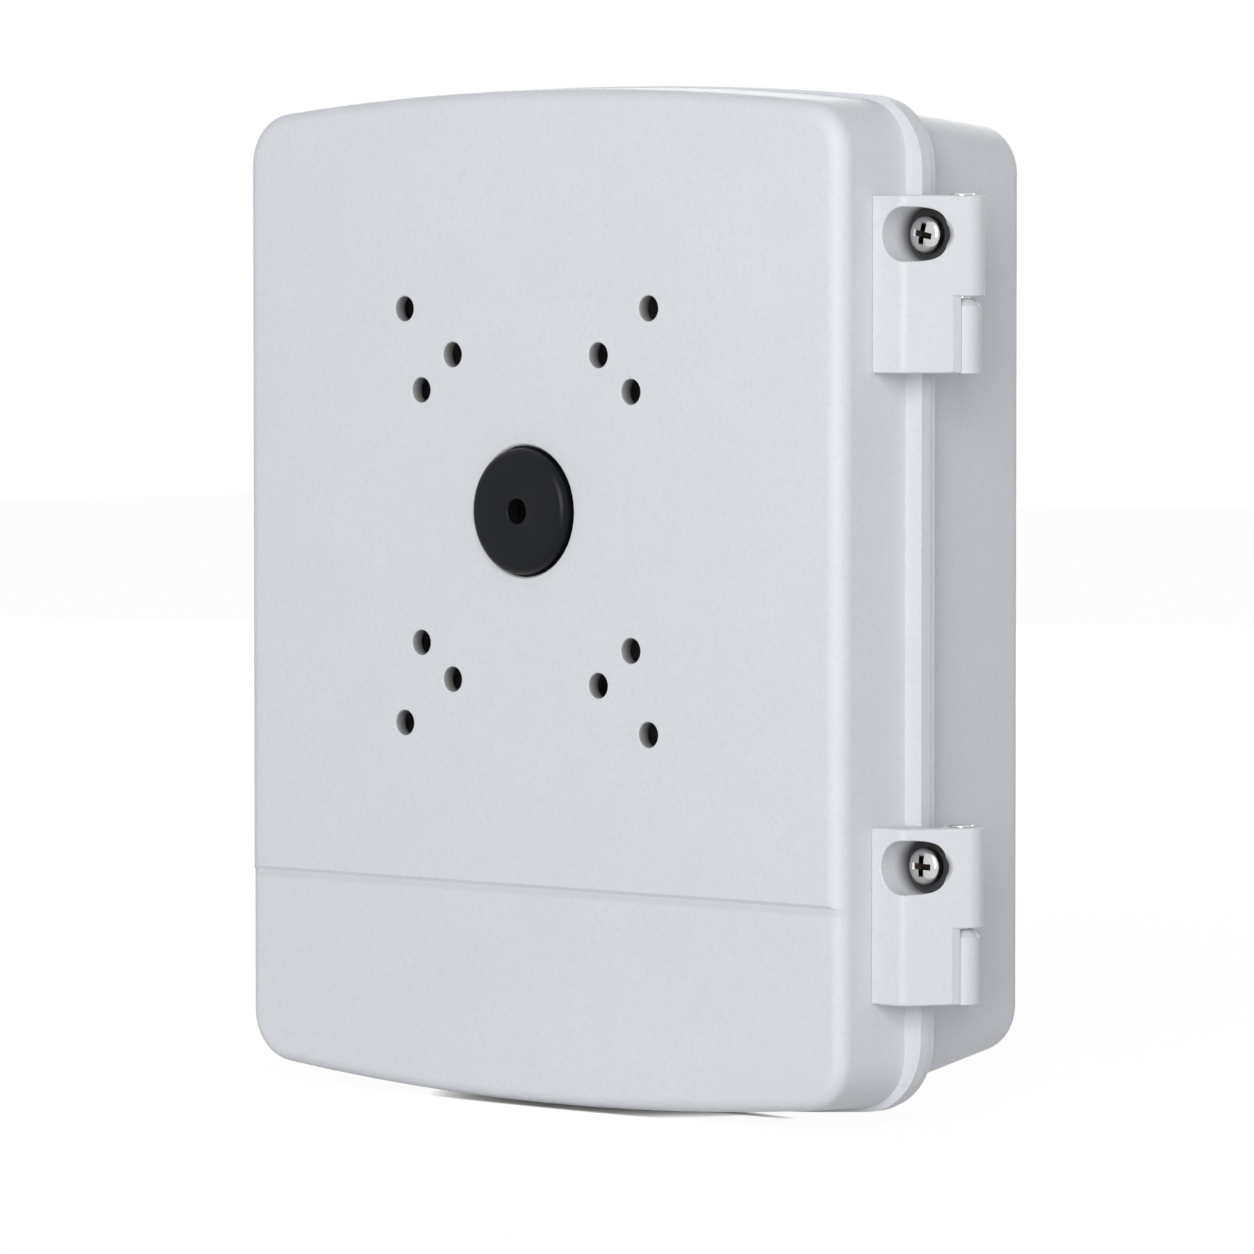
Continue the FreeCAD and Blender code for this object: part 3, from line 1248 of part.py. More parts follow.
def make_earth_point():
    """Hexagon bolt through the plate from behind, with a washer and a nut in front."""
    bolt = new_body("earth_bolt", earth_x, -plate_back_level, earth_z)
    head = new_sketch(bolt, "head_outline", "XZ_Plane")
    add_hexagon(head, size.earth_head_flats)
    pad(bolt, "head", head, size.earth_head_thick, reverse=True)
    shank = new_sketch(bolt, "shank_outline", "XZ_Plane")
    add_circle(shank, 0, 0, size.earth_radius)
    reach = size.plate_thick + size.earth_washer_thick + size.earth_nut_thick + size.earth_bolt_spare
    pad(bolt, "shank", shank, reach)
    make_ring("earth_washer", earth_x, -plate_front_level, earth_z, "XZ_Plane",
              size.earth_radius + size.washer_bore_clearance, size.earth_washer_radius,
              size.earth_washer_thick)
    make_nut("earth_nut", earth_x, -(plate_front_level + size.earth_washer_thick), earth_z,
             "XZ_Plane", size.earth_head_flats, size.earth_nut_thick,
             size.earth_radius + size.seat_clearance)


def build():
    make_front_cover()
    make_cover_gasket()
    make_cable_plug()
    make_rear_housing()
    for name, base in block_bases.items():
        make_hinge_block(name, base)
        make_hinge_pin(name, base)
    make_side_screws()
    make_mounting_plate()
    make_plate_screws()
    make_terminal_block()
    make_earth_point()
    make_entry_fittings()
    doc.recompute()


def write():
    """Checks every object, then writes one file for each piece."""
    for item in doc.Objects:
        if "Invalid" in item.State or "Error" in item.State:
            raise RuntimeError(item.Name + " failed: " + ", ".join(item.State))
    pieces = [item for item in doc.Objects if item.TypeId == "PartDesign::Body"]
    pieces = [item for item in pieces if item.Label != "upper_panel_form"]
    for piece in pieces:
        shape = piece.Shape
        if shape.isNull() or not shape.isValid() or len(shape.Solids) != 1:
            raise RuntimeError(piece.Label + " is not one valid solid")
    os.makedirs("parts", exist_ok=True)
    for piece in pieces:
        piece.Shape.exportStep(os.path.join("parts", piece.Label + ".step"))
        box = piece.Shape.BoundBox
        print("%-26s %10.1f mm3  X %8.2f %8.2f  Y %8.2f %8.2f  Z %8.2f %8.2f" % (
            piece.Label, piece.Shape.Volume, box.XMin, box.XMax, box.YMin, box.YMax,
            box.ZMin, box.ZMax))
    print(len(pieces), "pieces written")


build()
write()
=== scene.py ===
"""Looks of the camera junction box: powder-coated castings, plated screws and a rubber plug."""
import math

import bmesh
import bpy
from mathutils import Matrix, Vector
from mathutils.bvhtree import BVHTree


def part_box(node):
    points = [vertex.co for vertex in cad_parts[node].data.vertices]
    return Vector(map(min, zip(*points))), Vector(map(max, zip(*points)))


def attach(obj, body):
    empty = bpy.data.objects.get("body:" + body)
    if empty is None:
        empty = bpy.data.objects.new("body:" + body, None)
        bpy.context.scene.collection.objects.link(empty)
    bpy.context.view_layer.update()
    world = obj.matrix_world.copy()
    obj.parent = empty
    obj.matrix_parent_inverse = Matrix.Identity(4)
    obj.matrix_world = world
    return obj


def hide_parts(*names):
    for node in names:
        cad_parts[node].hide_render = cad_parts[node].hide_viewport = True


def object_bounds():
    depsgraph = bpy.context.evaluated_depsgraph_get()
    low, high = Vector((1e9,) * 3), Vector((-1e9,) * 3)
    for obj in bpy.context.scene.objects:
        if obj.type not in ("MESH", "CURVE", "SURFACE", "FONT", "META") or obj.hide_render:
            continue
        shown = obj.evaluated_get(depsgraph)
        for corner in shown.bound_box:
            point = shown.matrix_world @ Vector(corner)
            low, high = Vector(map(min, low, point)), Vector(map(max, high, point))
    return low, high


bl_info = {
    "name": "Camera junction box",
    "version": (1, 0, 0),
    "blender": (4, 5, 0),
    "location": "3D View > Sidebar > Junction box",
    "description": "Finishes every piece of a hinged junction box and sets up its studio",
    "category": "Object",
}

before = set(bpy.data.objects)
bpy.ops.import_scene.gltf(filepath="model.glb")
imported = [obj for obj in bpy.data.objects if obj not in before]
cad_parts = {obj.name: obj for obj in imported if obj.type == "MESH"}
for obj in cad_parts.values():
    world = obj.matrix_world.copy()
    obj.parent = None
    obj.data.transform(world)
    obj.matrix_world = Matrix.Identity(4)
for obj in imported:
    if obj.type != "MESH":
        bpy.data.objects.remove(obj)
CAD_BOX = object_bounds()
MM = 0.001

# Angles between two faces above which the edge between them stays sharp
SHARP_ANGLE = math.radians(32)
HEAD_ANGLE = math.radians(28)
FOLD_ANGLE = math.radians(14)

# Side screws, their washers and their pockets
SIDE_SHANK = 2.5 * MM
SIDE_HEAD_SHARE = 3.5 / 6.0
DOME_SAG = 0.9 * MM
WASHER_BORE = 2.7 * MM
WASHER_GAP = 0.9 * MM
POCKET_HALF_WIDTH = 8.1 * MM
POCKET_HALF_HEIGHT = 8.6 * MM
POCKET_SQUARENESS = 0.6
POCKET_SHADE_REACH = 9.6 * MM
POCKET_SHADE_START = 3.5 * MM

# Step and bores of the cover's front
STEP_LEVEL = 71.2 * MM
STEP_SPREAD = 1.6 * MM
FRONT_SKIN = 3.0 * MM
BORE_SHADE_START = 0.2 * MM
BORE_SHADE_FULL = 4.4 * MM
BORE_SHADE_END = 4.7 * MM
BORES_HALF_WIDTH = 74.0 * MM
BORES_HALF_HEIGHT = 89.0 * MM

# Fittings inside the box and at its entries
PLATE_HEAD = 4.0 * MM
PLATE_HEAD_HEIGHT = 2.6 * MM
PLATE_SHANK = 2.0 * MM
CLAMP_HEAD_HEIGHT = 2.0 * MM
CLAMP_SHANK = 1.7 * MM
CLAMP_SLOT_WIDTH = 0.8 * MM
CLAMP_SLOT_DEPTH = 1.0 * MM
RIB_LEVEL = 1.9 * MM
BRASS = (0.72, 0.52, 0.2)
# Near black of the painted shade in the side screws' recesses and under their heads
PAINTED_SHADE_COLOUR = (0.022, 0.017, 0.014)
WHITE = (1.0, 1.0, 1.0)


# Shader expressions


class Value:
    """A number socket of a shader, used in plain arithmetic."""

    def __init__(self, shader, socket):
        self.shader = shader
        self.socket = socket

    def _math(self, operation, first, second):
        made = self.shader.node("ShaderNodeMath", {"operation": operation}, {0: first, 1: second})
        return Value(self.shader, made.outputs[0])

    def __add__(self, other):
        return self._math("ADD", self, other)

    __radd__ = __add__

    def __sub__(self, other):
        return self._math("SUBTRACT", self, other)

    def __rsub__(self, other):
        return self._math("SUBTRACT", other, self)

    def __mul__(self, other):
        return self._math("MULTIPLY", self, other)

    __rmul__ = __mul__

    def __truediv__(self, other):
        return self._math("DIVIDE", self, other)

    def __pow__(self, other):
        return self._math("POWER", self, other)

    def __abs__(self):
        return self._math("ABSOLUTE", self, 0.0)

    def clamped(self):
        """Limited to the range from 0 to 1."""
        limited = self.shader.node("ShaderNodeClamp", {}, {"Value": self})
        return Value(self.shader, limited.outputs[0])

    def rising(self, start, end):
        """0 at the start, 1 at the end and even between them."""
        return ((self - start) / (end - start)).clamped()


class Graph:
    """A node tree, in which every node is made by one method."""

    def __init__(self, tree):
        self.tree = tree

    def node(self, kind, settings=None, inputs=None):
        """Adds a node: its settings first, then the values or links of its sockets."""
        made = self.tree.nodes.new(kind)
        for key, setting in (settings or {}).items():
            setattr(made, key, setting)
        for key, value in (inputs or {}).items():
            self.feed(made.inputs[key], value)
        return made

    def feed(self, socket, value):
        """Links a socket, or sets its value."""
        if isinstance(value, Value):
            value = value.socket
        if isinstance(value, bpy.types.NodeSocket):
            self.tree.links.new(value, socket)
        else:
            socket.default_value = value


class Shader(Graph):
    """A new material, or a world, and the nodes in it."""

    def __init__(self, name, world=None):
        self.material = world or bpy.data.materials.new(name)
        self.material.use_nodes = True
        super().__init__(self.material.node_tree)
        self.tree.nodes.clear()
        self.output = self.node("ShaderNodeOutputWorld" if world else "ShaderNodeOutputMaterial")

    def place(self):
        """Object coordinates, which for these pieces are metres in the box's own frame."""
        return self.node("ShaderNodeTexCoord").outputs["Object"]

    def axes(self):
        """The place as three numbers: across, towards the back, and up."""
        parts = self.node("ShaderNodeSeparateXYZ", {}, {0: self.place()}).outputs
        return tuple(Value(self, part) for part in parts)

    def noise(self, scale, detail=2.0, roughness=0.5, stretch=None):
        """Soft random grey, stretched along the axes if asked."""
        where = self.place()
        if stretch is not None:
            inputs = {"Vector": where, "Scale": stretch}
            where = self.node("ShaderNodeMapping", {}, inputs).outputs[0]
        inputs = {"Vector": where, "Scale": scale, "Detail": detail, "Roughness": roughness}
        return Value(self, self.node("ShaderNodeTexNoise", {}, inputs).outputs["Fac"])

    def cells(self, scale):
        """One random grey for each cell of a crystal pattern."""
        made = self.node("ShaderNodeTexVoronoi", {}, {"Vector": self.place(), "Scale": scale})
        grey = self.node("ShaderNodeRGBToBW", {}, {0: made.outputs["Color"]})
        return Value(self, grey.outputs[0])

    def mix(self, factor, first, second):
        """A colour between two others; each is a linear RGB triple or a socket."""
        colours = [
            colour if isinstance(colour, bpy.types.NodeSocket) else (*colour[:3], 1.0)
            for colour in (first, second)
        ]
        inputs = {0: factor, 6: colours[0], 7: colours[1]}
        return self.node("ShaderNodeMix", {"data_type": "RGBA"}, inputs).outputs[2]

    def bump(self, height, distance):
        """A normal that follows a height, whose full range is the distance."""
        return self.node("ShaderNodeBump", {}, {"Height": height, "Distance": distance}).outputs[0]

    def surface(self, **inputs):
        """The surface shader; names use underscores for the spaces of its sockets."""
        named = {key.replace("_", " "): value for key, value in inputs.items()}
        return self.finish(self.node("ShaderNodeBsdfPrincipled", {}, named))

    def finish(self, made):
        """Sends a node's result to the output and gives the material."""
        self.feed(self.output.inputs["Surface"], made.outputs[0])
        return self.material


def shade(colour, amount):
    """A colour made darker or lighter by a factor."""
    return tuple(channel * amount for channel in colour[:3])


def from_side_screws(shader):
    """Squared distance from the nearest side screw's axis, in mm2, and the depth, in m.

    The four screws stand in mirrored pairs, so one formula serves them all.
    """
    across, back, up = shader.axes()
    upper = node_centre("hinge_screw_upper")
    lower = node_centre("hinge_screw_lower")
    aside = (abs(across) - upper.x) / MM
    rise = (abs(up - (upper.z + lower.z) / 2) - (upper.z - lower.z) / 2) / MM
    return aside * aside + rise * rise, back


def shaded_wells(shader):
    """Painted shade: 1 down in the screw pockets and in the bores of the cover's front, 0
    elsewhere.
    """
    away, back = from_side_screws(shader)
    reach = POCKET_SHADE_REACH / MM
    head_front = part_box("hinge_screw_upper")[0].y
    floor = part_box("hinge_washer_upper")[1].y
    pocket = away.rising(reach ** 2, (reach - 1.0) ** 2)
    pocket = pocket * back.rising(head_front - POCKET_SHADE_START, floor) ** 1.4
    pocket = pocket * back.rising(floor + 0.3 * MM, floor + 0.1 * MM)
    across, back, up = shader.axes()
    aside = abs(across)
    above = abs(up - node_centre("cable_plug").z)
    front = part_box("front_cover")[0].y
    bore = back.rising(front + BORE_SHADE_START, front + BORE_SHADE_FULL) ** 0.55
    bore = bore * back.rising(front + BORE_SHADE_END + 0.1 * MM, front + BORE_SHADE_END)
    bore = bore * aside.rising(BORES_HALF_WIDTH + MM, BORES_HALF_WIDTH)
    bore = bore * above.rising(BORES_HALF_HEIGHT + MM, BORES_HALF_HEIGHT)
    return (pocket * 0.97 + bore * 0.9).clamped()


def step_shade(shader):
    """Painted shade: 1 along the foot of the step that crosses the cover's front, fading above and
    below it.
    """
    back, up = shader.axes()[1:]
    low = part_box("front_cover")[0]
    off = (up - (low.z + STEP_LEVEL)) / STEP_SPREAD
    return (1.0 - off * off).clamped() * back.rising(low.y + FRONT_SKIN + MM, low.y + FRONT_SKIN)


def powder_coat(look):
    """Orange-peel powder coat: soft ripples, tiny dimples and a faint mottle."""
    shader = Shader("powder_coat")
    peel = shader.noise(1.0 / look.grain, roughness=0.45)
    fine = shader.noise(3.1 / look.grain, detail=1.0)
    mottle = shader.noise(38.0, detail=3.0, roughness=0.55)
    dull = shade(look.colour, 0.98)
    pale = shade(look.colour, 1.015)
    painted_dimple_shade = shade(look.colour, 0.95)
    painted_step_shade = shade(look.colour, 0.84)
    painted_well_shade = shade(look.colour, 0.04)
    tint = shader.mix(((mottle - 0.5) * 1.6 + 0.5).clamped(), dull, pale)
    # Painted shade: the coat is a little darker in the dimples of the ripples.
    tint = shader.mix(((0.5 - peel) * 4.0).clamped(), tint, painted_dimple_shade)
    # Painted shade along the foot of the step across the cover's front.
    tint = shader.mix(step_shade(shader) * 0.55, tint, painted_step_shade)
    # Painted shade, nearly black, down the screw pockets and the bores of the cover's front.
    tint = shader.mix(shaded_wells(shader), tint, painted_well_shade)
    return shader.surface(
        Base_Color=tint,
        Roughness=look.roughness + (fine - 0.5) * 0.12,
        Specular_IOR_Level=0.4,
        Normal=shader.bump(peel * 0.75 + fine * 0.25, look.depth),
    )


def rubber(name, colour, roughness, gloss=0.3):
    """Moulded rubber: matt, with a faint bloom and a fine skin."""
    shader = Shader(name)
    skin = shader.noise(1600.0)
    bloom = shader.noise(90.0, detail=3.0)
    tint = shader.mix((bloom * 1.4 - 0.3).clamped(), shade(colour, 0.85), shade(colour, 1.35))
    return shader.surface(
        Base_Color=tint,
        Roughness=roughness + (bloom - 0.5) * 0.12,
        Specular_IOR_Level=gloss,
        Normal=shader.bump(skin, 0.03 * MM),
    )


def head_shade(shader):
    """Painted shade: dark in the side screws' cross recess, on their shank and under the rim of
    their heads.
    """
    away, back = from_side_screws(shader)
    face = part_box("hinge_screw_upper")[0].y
    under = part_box("hinge_washer_upper")[0].y
    head = head_radius() / MM
    dome = away * (DOME_SAG / head ** 2) + face
    recess = (back - dome).rising(0.25 * MM, 0.7 * MM)
    recess = recess * away.rising((head * 0.86) ** 2, (head * 0.82) ** 2)
    rim = back.rising(face + 1.3 * MM, face + 2.4 * MM)
    rim = rim * back.rising(under + 0.2 * MM, under + 0.1 * MM)
    return (recess + rim * 0.85).clamped()


def plated_metal(name, colour, roughness, brushing=None, shade_mask=None):
    """Plated metal: fine turning marks, a little uneven gloss, and painted shade where a given
    mask is 1.
    """
    shader = Shader(name)
    marks = shader.noise(900.0, stretch=brushing)
    patches = shader.noise(160.0, detail=3.0)
    tint = shader.mix(patches, shade(colour, 0.9), colour)
    if shade_mask is not None:
        # Painted shade, near black, in the cross recess, on the shank and under the head's rim.
        tint = shader.mix(shade_mask(shader), tint, PAINTED_SHADE_COLOUR)
    return shader.surface(
        Base_Color=tint,
        Metallic=1.0,
        Roughness=roughness + (patches - 0.5) * 0.12 + (marks - 0.5) * 0.08,
        Normal=shader.bump(marks, 0.012 * MM),
    )


def zinc_sheet():
    """Zinc-plated sheet with soft crystal patches."""
    shader = Shader("zinc_sheet")
    grey = shader.cells(190.0)
    fine = shader.noise(700.0)
    return shader.surface(
        Base_Color=shader.mix(grey, (0.49, 0.5, 0.52), (0.58, 0.59, 0.61)),
        Metallic=0.9,
        Roughness=0.4 + grey * 0.07 + (fine - 0.5) * 0.06,
        Normal=shader.bump(fine, 0.01 * MM),
    )


def moulded_plastic(name, colour, roughness):
    """Moulded polyamide with a fine sparked skin."""
    shader = Shader(name)
    skin = shader.noise(1300.0)
    cloud = shader.noise(60.0)
    return shader.surface(
        Base_Color=shader.mix(cloud, shade(colour, 0.94), shade(colour, 1.05)),
        Roughness=roughness + (skin - 0.5) * 0.1,
        Normal=shader.bump(skin, 0.03 * MM),
    )


def seen_directly(shader):
    """1 for the camera's rays and for reflections, 0 for the light that falls on the box."""
    rays = shader.node("ShaderNodeLightPath").outputs
    names = ("Is Camera Ray", "Is Glossy Ray", "Is Transmission Ray")
    camera, glossy, through = (Value(shader, rays[name]) for name in names)
    return (camera + glossy + through).clamped()


# Meshes


def link(name, mesh):
    """A new object for a mesh, in the scene."""
    piece = bpy.data.objects.new(name, mesh)
    bpy.context.scene.collection.objects.link(piece)
    return piece


def smooth(mesh, angle=SHARP_ANGLE):
    """Smooth shading, with creases where faces meet above the angle."""
    mesh.shade_smooth()
    mesh.set_sharp_from_angle(angle=angle)


def mesh_from(bm, name):
    """Closes the job on a bmesh: merged points, outward faces, smooth shading."""
    bmesh.ops.remove_doubles(bm, verts=bm.verts, dist=1e-6)
    bmesh.ops.recalc_face_normals(bm, faces=bm.faces)
    mesh = bpy.data.meshes.new(name)
    bm.to_mesh(mesh)
    bm.free()
    smooth(mesh)
    return mesh


def settle(piece):
    """Turns the result of a piece's modifiers into its plain mesh."""
    graph = bpy.context.evaluated_depsgraph_get()
    mesh = bpy.data.meshes.new_from_object(piece.evaluated_get(graph), depsgraph=graph)
    mesh.name = piece.name
    piece.modifiers.clear()
    piece.data = mesh


def bevel(piece, width, clamp):
    """Breaks the sharp edges, as a coat of paint or a trimmed casting does.

    Without the clamp short edges don't narrow it, and points that it throws too far come back.
    """
    stray = width * 0.6
    corners = [vertex.co.copy() for vertex in piece.data.vertices]
    skin = BVHTree.FromPolygons(corners, [tuple(face.vertices) for face in piece.data.polygons])
    edge_break = piece.modifiers.new("edge_break", "BEVEL")
    edge_break.width = width
    edge_break.segments = 2
    edge_break.limit_method = "ANGLE"
    edge_break.angle_limit = SHARP_ANGLE
    edge_break.use_clamp_overlap = clamp
    edge_break.harden_normals = True
    edge_break.miter_outer = "MITER_ARC"
    settle(piece)
    for vertex in piece.data.vertices:
        place, _, _, away = skin.find_nearest(vertex.co)
        if away > stray:
            vertex.co = place


def merged_copy(node, name, fold):
    """A copy of a CAD node as one closed skin with whole flat faces, creased above the fold."""
    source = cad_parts[node].data
    mesh = bpy.data.meshes.new(name)
    points = [vertex.co.copy() for vertex in source.vertices]
    mesh.from_pydata(points, [], [tuple(face.vertices) for face in source.polygons])
    bm = bmesh.new()
    bm.from_mesh(mesh)
    bmesh.ops.remove_doubles(bm, verts=bm.verts, dist=3e-6)
    bmesh.ops.dissolve_limit(bm, angle_limit=math.radians(0.2), verts=bm.verts, edges=bm.edges)
    bm.to_mesh(mesh)
    bm.free()
    smooth(mesh, fold)
    return link(name, mesh)


def finished_copy(node, name, coat, edge, body, fold=SHARP_ANGLE, tool=None):
    """A bevelled copy of a node that stands for it, with its material and its body."""
    piece = merged_copy(node, name, fold)
    if tool is not None:
        cut(piece, tool)
        smooth(piece.data, fold)
    bevel(piece, edge, clamp=tool is None)
    dress(piece, coat, body, [node])


def dress(piece, coat, body, nodes):
    """Gives a piece its material, slot and body, and hides the CAD nodes that it stands for."""
    piece.data.materials.clear()
    piece.data.materials.append(coat)
    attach(piece, body)
    if nodes:
        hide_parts(*nodes)


def recoat(node, coat):
    """Gives a CAD node that stays in view its material."""
    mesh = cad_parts[node].data
    mesh.materials.clear()
    mesh.materials.append(coat)


def span(bm, loops):
    """Faces from each loop of points to the next; a point that a loop repeats counts once."""
    count = len(loops[0])
    for first, second in zip(loops, loops[1:]):
        for index in range(count):
            after = (index + 1) % count
            corners = [first[index], first[after], second[after], second[index]]
            unique = list(dict.fromkeys(corners))
            if len(unique) > 2:
                bm.faces.new(unique)


def cap(bm, loops):
    """Closes the first and the last loop."""
    bm.faces.new(loops[0])
    bm.faces.new(loops[-1])


def lathe(profile, steps):
    """A closed turned form: (radius, height) points round the Y axis, height towards -Y."""
    bm = bmesh.new()
    turns = [2 * math.pi * step / steps for step in range(steps)]
    rings = []
    for radius, height in profile:
        if radius < 1e-9:
            rings.append([bm.verts.new((0, -height, 0))] * steps)
            continue
        rings.append([
            bm.verts.new((radius * math.cos(turn), -height, radius * math.sin(turn)))
            for turn in turns
        ])
    span(bm, rings)
    return bm


def arc_points(centre, radius, start, end, count):
    """Points of an arc in a turned profile, angles in degrees from the radius axis."""
    turns = [math.radians(start + (end - start) * step / count) for step in range(count + 1)]
    return [(centre[0] + radius * math.cos(t), centre[1] + radius * math.sin(t)) for t in turns]


def node_centre(node):
    """The middle of a CAD node's box."""
    low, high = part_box(node)
    return (low + high) / 2


def half_width(node):
    """Half of a CAD node's box across, which is the radius of a round one."""
    low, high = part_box(node)
    return (high.x - low.x) / 2


def head_radius():
    """Radius of the side screws' heads."""
    return half_width("hinge_screw_upper")


# Repeats by Geometry Nodes


class Repeat(Graph):
    """A Geometry Nodes tree that sets one shape on every point of its input."""

    def __init__(self, name, inputs):
        super().__init__(bpy.data.node_groups.new(name, "GeometryNodeTree"))
        face = self.tree.interface
        for key, kind in {"Geometry": "Geometry", **inputs, "Finish": "Material"}.items():
            face.new_socket(key, in_out="INPUT", socket_type="NodeSocket" + kind)
        face.new_socket("Geometry", in_out="OUTPUT", socket_type="NodeSocketGeometry")
        self.given = self.node("NodeGroupInput").outputs

    def finish(self, shape, turn=None):
        """Sets the shape on the points, makes the copies real and gives them their material."""
        points = self.node("GeometryNodeMeshToPoints", {}, {"Mesh": self.given["Geometry"]})
        copies = self.node("GeometryNodeInstanceOnPoints", {}, {
            "Points": points.outputs[0], "Instance": shape})
        if turn is not None:
            self.feed(copies.inputs["Rotation"], turn)
        real = self.node("GeometryNodeRealizeInstances", {}, {0: copies.outputs[0]})
        coated = self.node("GeometryNodeSetMaterial", {}, {
            "Geometry": real.outputs[0], "Material": self.given["Finish"]})
        self.node("NodeGroupOutput", {}, {0: coated.outputs[0]})
        return self.tree


def fastener_tree():
    """Sets a fastener on every point, each turned by its own angle."""
    repeat = Repeat("fasteners", {"Fastener": "Object", "Turn": "Float", "Seed": "Int"})
    given = repeat.given
    shape = repeat.node("GeometryNodeObjectInfo", {}, {"Object": given["Fastener"]})
    angle = repeat.node("FunctionNodeRandomValue", {}, {3: given["Turn"], "Seed": given["Seed"]})
    turn = repeat.node("ShaderNodeCombineXYZ", {}, {"Y": angle.outputs[1]})
    return repeat.finish(shape.outputs["Geometry"], turn.outputs[0])


def rib_tree():
    """Sets a ring of upright round ribs about every point."""
    repeat = Repeat("grip_ribs", {
        "Count": "Int", "Reach": "Float", "Rib radius": "Float", "Rib height": "Float"})
    given = repeat.given
    circle = repeat.node("GeometryNodeMeshCircle", {}, {
        "Vertices": given["Count"], "Radius": given["Reach"]})
    rib = repeat.node("GeometryNodeMeshCylinder", {}, {
        "Vertices": 8, "Radius": given["Rib radius"], "Depth": given["Rib height"]})
    ring = repeat.node("GeometryNodeInstanceOnPoints", {}, {
        "Points": circle.outputs[0], "Instance": rib.outputs[0]})
    whole = repeat.node("GeometryNodeRealizeInstances", {}, {0: ring.outputs[0]})
    return repeat.finish(whole.outputs[0])


def grown_from(tree, name, places, values):
    """Runs a tree on points and gives the result as a plain mesh piece."""
    mesh = bpy.data.meshes.new(name)
    mesh.from_pydata([tuple(place) for place in places], [], [])
    piece = link(name, mesh)
    modifier = piece.modifiers.new(tree.name, "NODES")
    modifier.node_group = tree
    given = [item for item in tree.interface.items_tree if item.in_out == "INPUT"]
    sockets = {item.name: item.identifier for item in given}
    for key, value in values.items():
        modifier[sockets[key]] = value
    settle(piece)
    smooth(piece.data)
    return piece


def fasten(name, master, nodes, height, turn, seed, coat, body):
    """Sets copies of a master on the seats of some CAD nodes, which they stand for.

    A seat is in line with its node's middle, at the height of the head behind the front.
    """
    seats = []
    for node in nodes:
        centre = node_centre(node)
        seats.append(Vector((centre.x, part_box(node)[0].y + height, centre.z)))
    piece = grown_from(fastener_tree(), name, seats, {
        "Fastener": master, "Turn": turn, "Seed": seed, "Finish": coat})
    bpy.data.objects.remove(master)
    dress(piece, coat, body, nodes)


# Fasteners


def screw_profile(head, height, edge, shank, reach, pitch):
    """Half section of a pan-head screw, from the head's middle to the tip, with its thread."""
    sag = DOME_SAG * head / head_radius()
    flat = head - edge
    radii = [flat * step / 6 for step in range(6)]
    points = [(radius, height - sag * (radius / head) ** 2) for radius in radii]
    drop = sag * (flat / head) ** 2
    points += arc_points((flat, height - drop - edge), edge, 78, 0, 6)
    rim = 0.25 * MM
    points += [(head, rim), (head - rim, 0), (shank, 0)]
    root_radius = shank - pitch * 0.55
    level = -pitch
    while level > -reach + 2 * pitch:
        points += [(shank, level), (root_radius, level - pitch * 0.45)]
        level -= pitch
    points += [(shank, level), (root_radius, -reach), (0, -reach)]
    return points


def cross_recess(reach, half, depth, height):
    """A cross that cuts the recess of a head: wider above the head, narrower at its depth."""
    bm = bmesh.new()
    loops = []
    for scale, rise in ((1.12, 0.3 * MM), (0.42, -depth)):
        arm = reach * scale
        wide = half * (0.75 + 0.25 * scale)
        outline = [
            (wide, wide), (wide, arm), (-wide, arm), (-wide, wide), (-arm, wide), (-arm, -wide),
            (-wide, -wide), (-wide, -arm), (wide, -arm), (wide, -wide), (arm, -wide), (arm, wide),
        ]
        loops.append([bm.verts.new((x, -(height + rise), z)) for x, z in outline])
    span(bm, loops)
    cap(bm, loops)
    return mesh_from(bm, "cross")


def cut(piece, tool_mesh):
    """Takes a tool's form out of a piece."""
    tool = link("cutter", tool_mesh)
    carve = piece.modifiers.new("carve", "BOOLEAN")
    carve.operation = "DIFFERENCE"
    carve.solver = "EXACT"
    carve.object = tool
    settle(piece)
    bpy.data.objects.remove(tool)


def pocket_tool(level):
    """A tool that squares the outer corners of a hinge block's screw pocket, as moulded."""
    screw = node_centre("hinge_screw_" + level)
    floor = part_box("hinge_washer_" + level)[1].y - 0.02 * MM
    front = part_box("hinge_block_" + level)[0].y - 1.0 * MM
    inner = -0.5 * POCKET_HALF_HEIGHT
    side = 0.75 * POCKET_HALF_HEIGHT
    outline = [(inner, -side), (inner, side)]
    points = 24
    for step in range(points + 1):
        turn = math.pi / 2 - math.pi * step / points
        out = abs(math.cos(turn)) ** POCKET_SQUARENESS
        rise = math.copysign(abs(math.sin(turn)) ** POCKET_SQUARENESS, math.sin(turn))
        outline.append((POCKET_HALF_WIDTH * out, POCKET_HALF_HEIGHT * rise))
    bm = bmesh.new()
    loops = []
    for back in (front, floor):
        loops.append([bm.verts.new((screw.x + x, back, screw.z + z)) for x, z in outline])
    span(bm, loops)
    cap(bm, loops)
    return mesh_from(bm, "pocket")


def cross_screw(name, head, height, shank, reach, pitch):
    """A pan-head screw with a cross recess; its origin is under the head."""
    profile = screw_profile(head, height, height * 0.42, shank, reach, pitch)
    piece = link(name, mesh_from(lathe(profile, 64), name))
    cut(piece, cross_recess(head * 0.66, head * 0.165, height * 0.62, height))
    smooth(piece.data, HEAD_ANGLE)
    return piece


def slotted_screw(name, head, height, shank, reach, slot_width, slot_depth):
    """A cheese-head screw with a slot; its origin is under the head."""
    slope = head * 0.2
    profile = [(0, height), (head - slope, height), (head, height - slope), (head, 0), (shank, 0),
               (shank, -reach), (0, -reach)]
    piece = link(name, mesh_from(lathe(profile, 32), name))
    bm = bmesh.new()
    bmesh.ops.create_cube(bm, size=1.0)
    scale = Matrix.Diagonal((slot_width, slot_depth * 2, head * 3, 1.0))
    bmesh.ops.transform(bm, matrix=Matrix.Translation((0, -height, 0)) @ scale, verts=bm.verts)
    cut(piece, mesh_from(bm, "slot"))
    smooth(piece.data)
    return piece


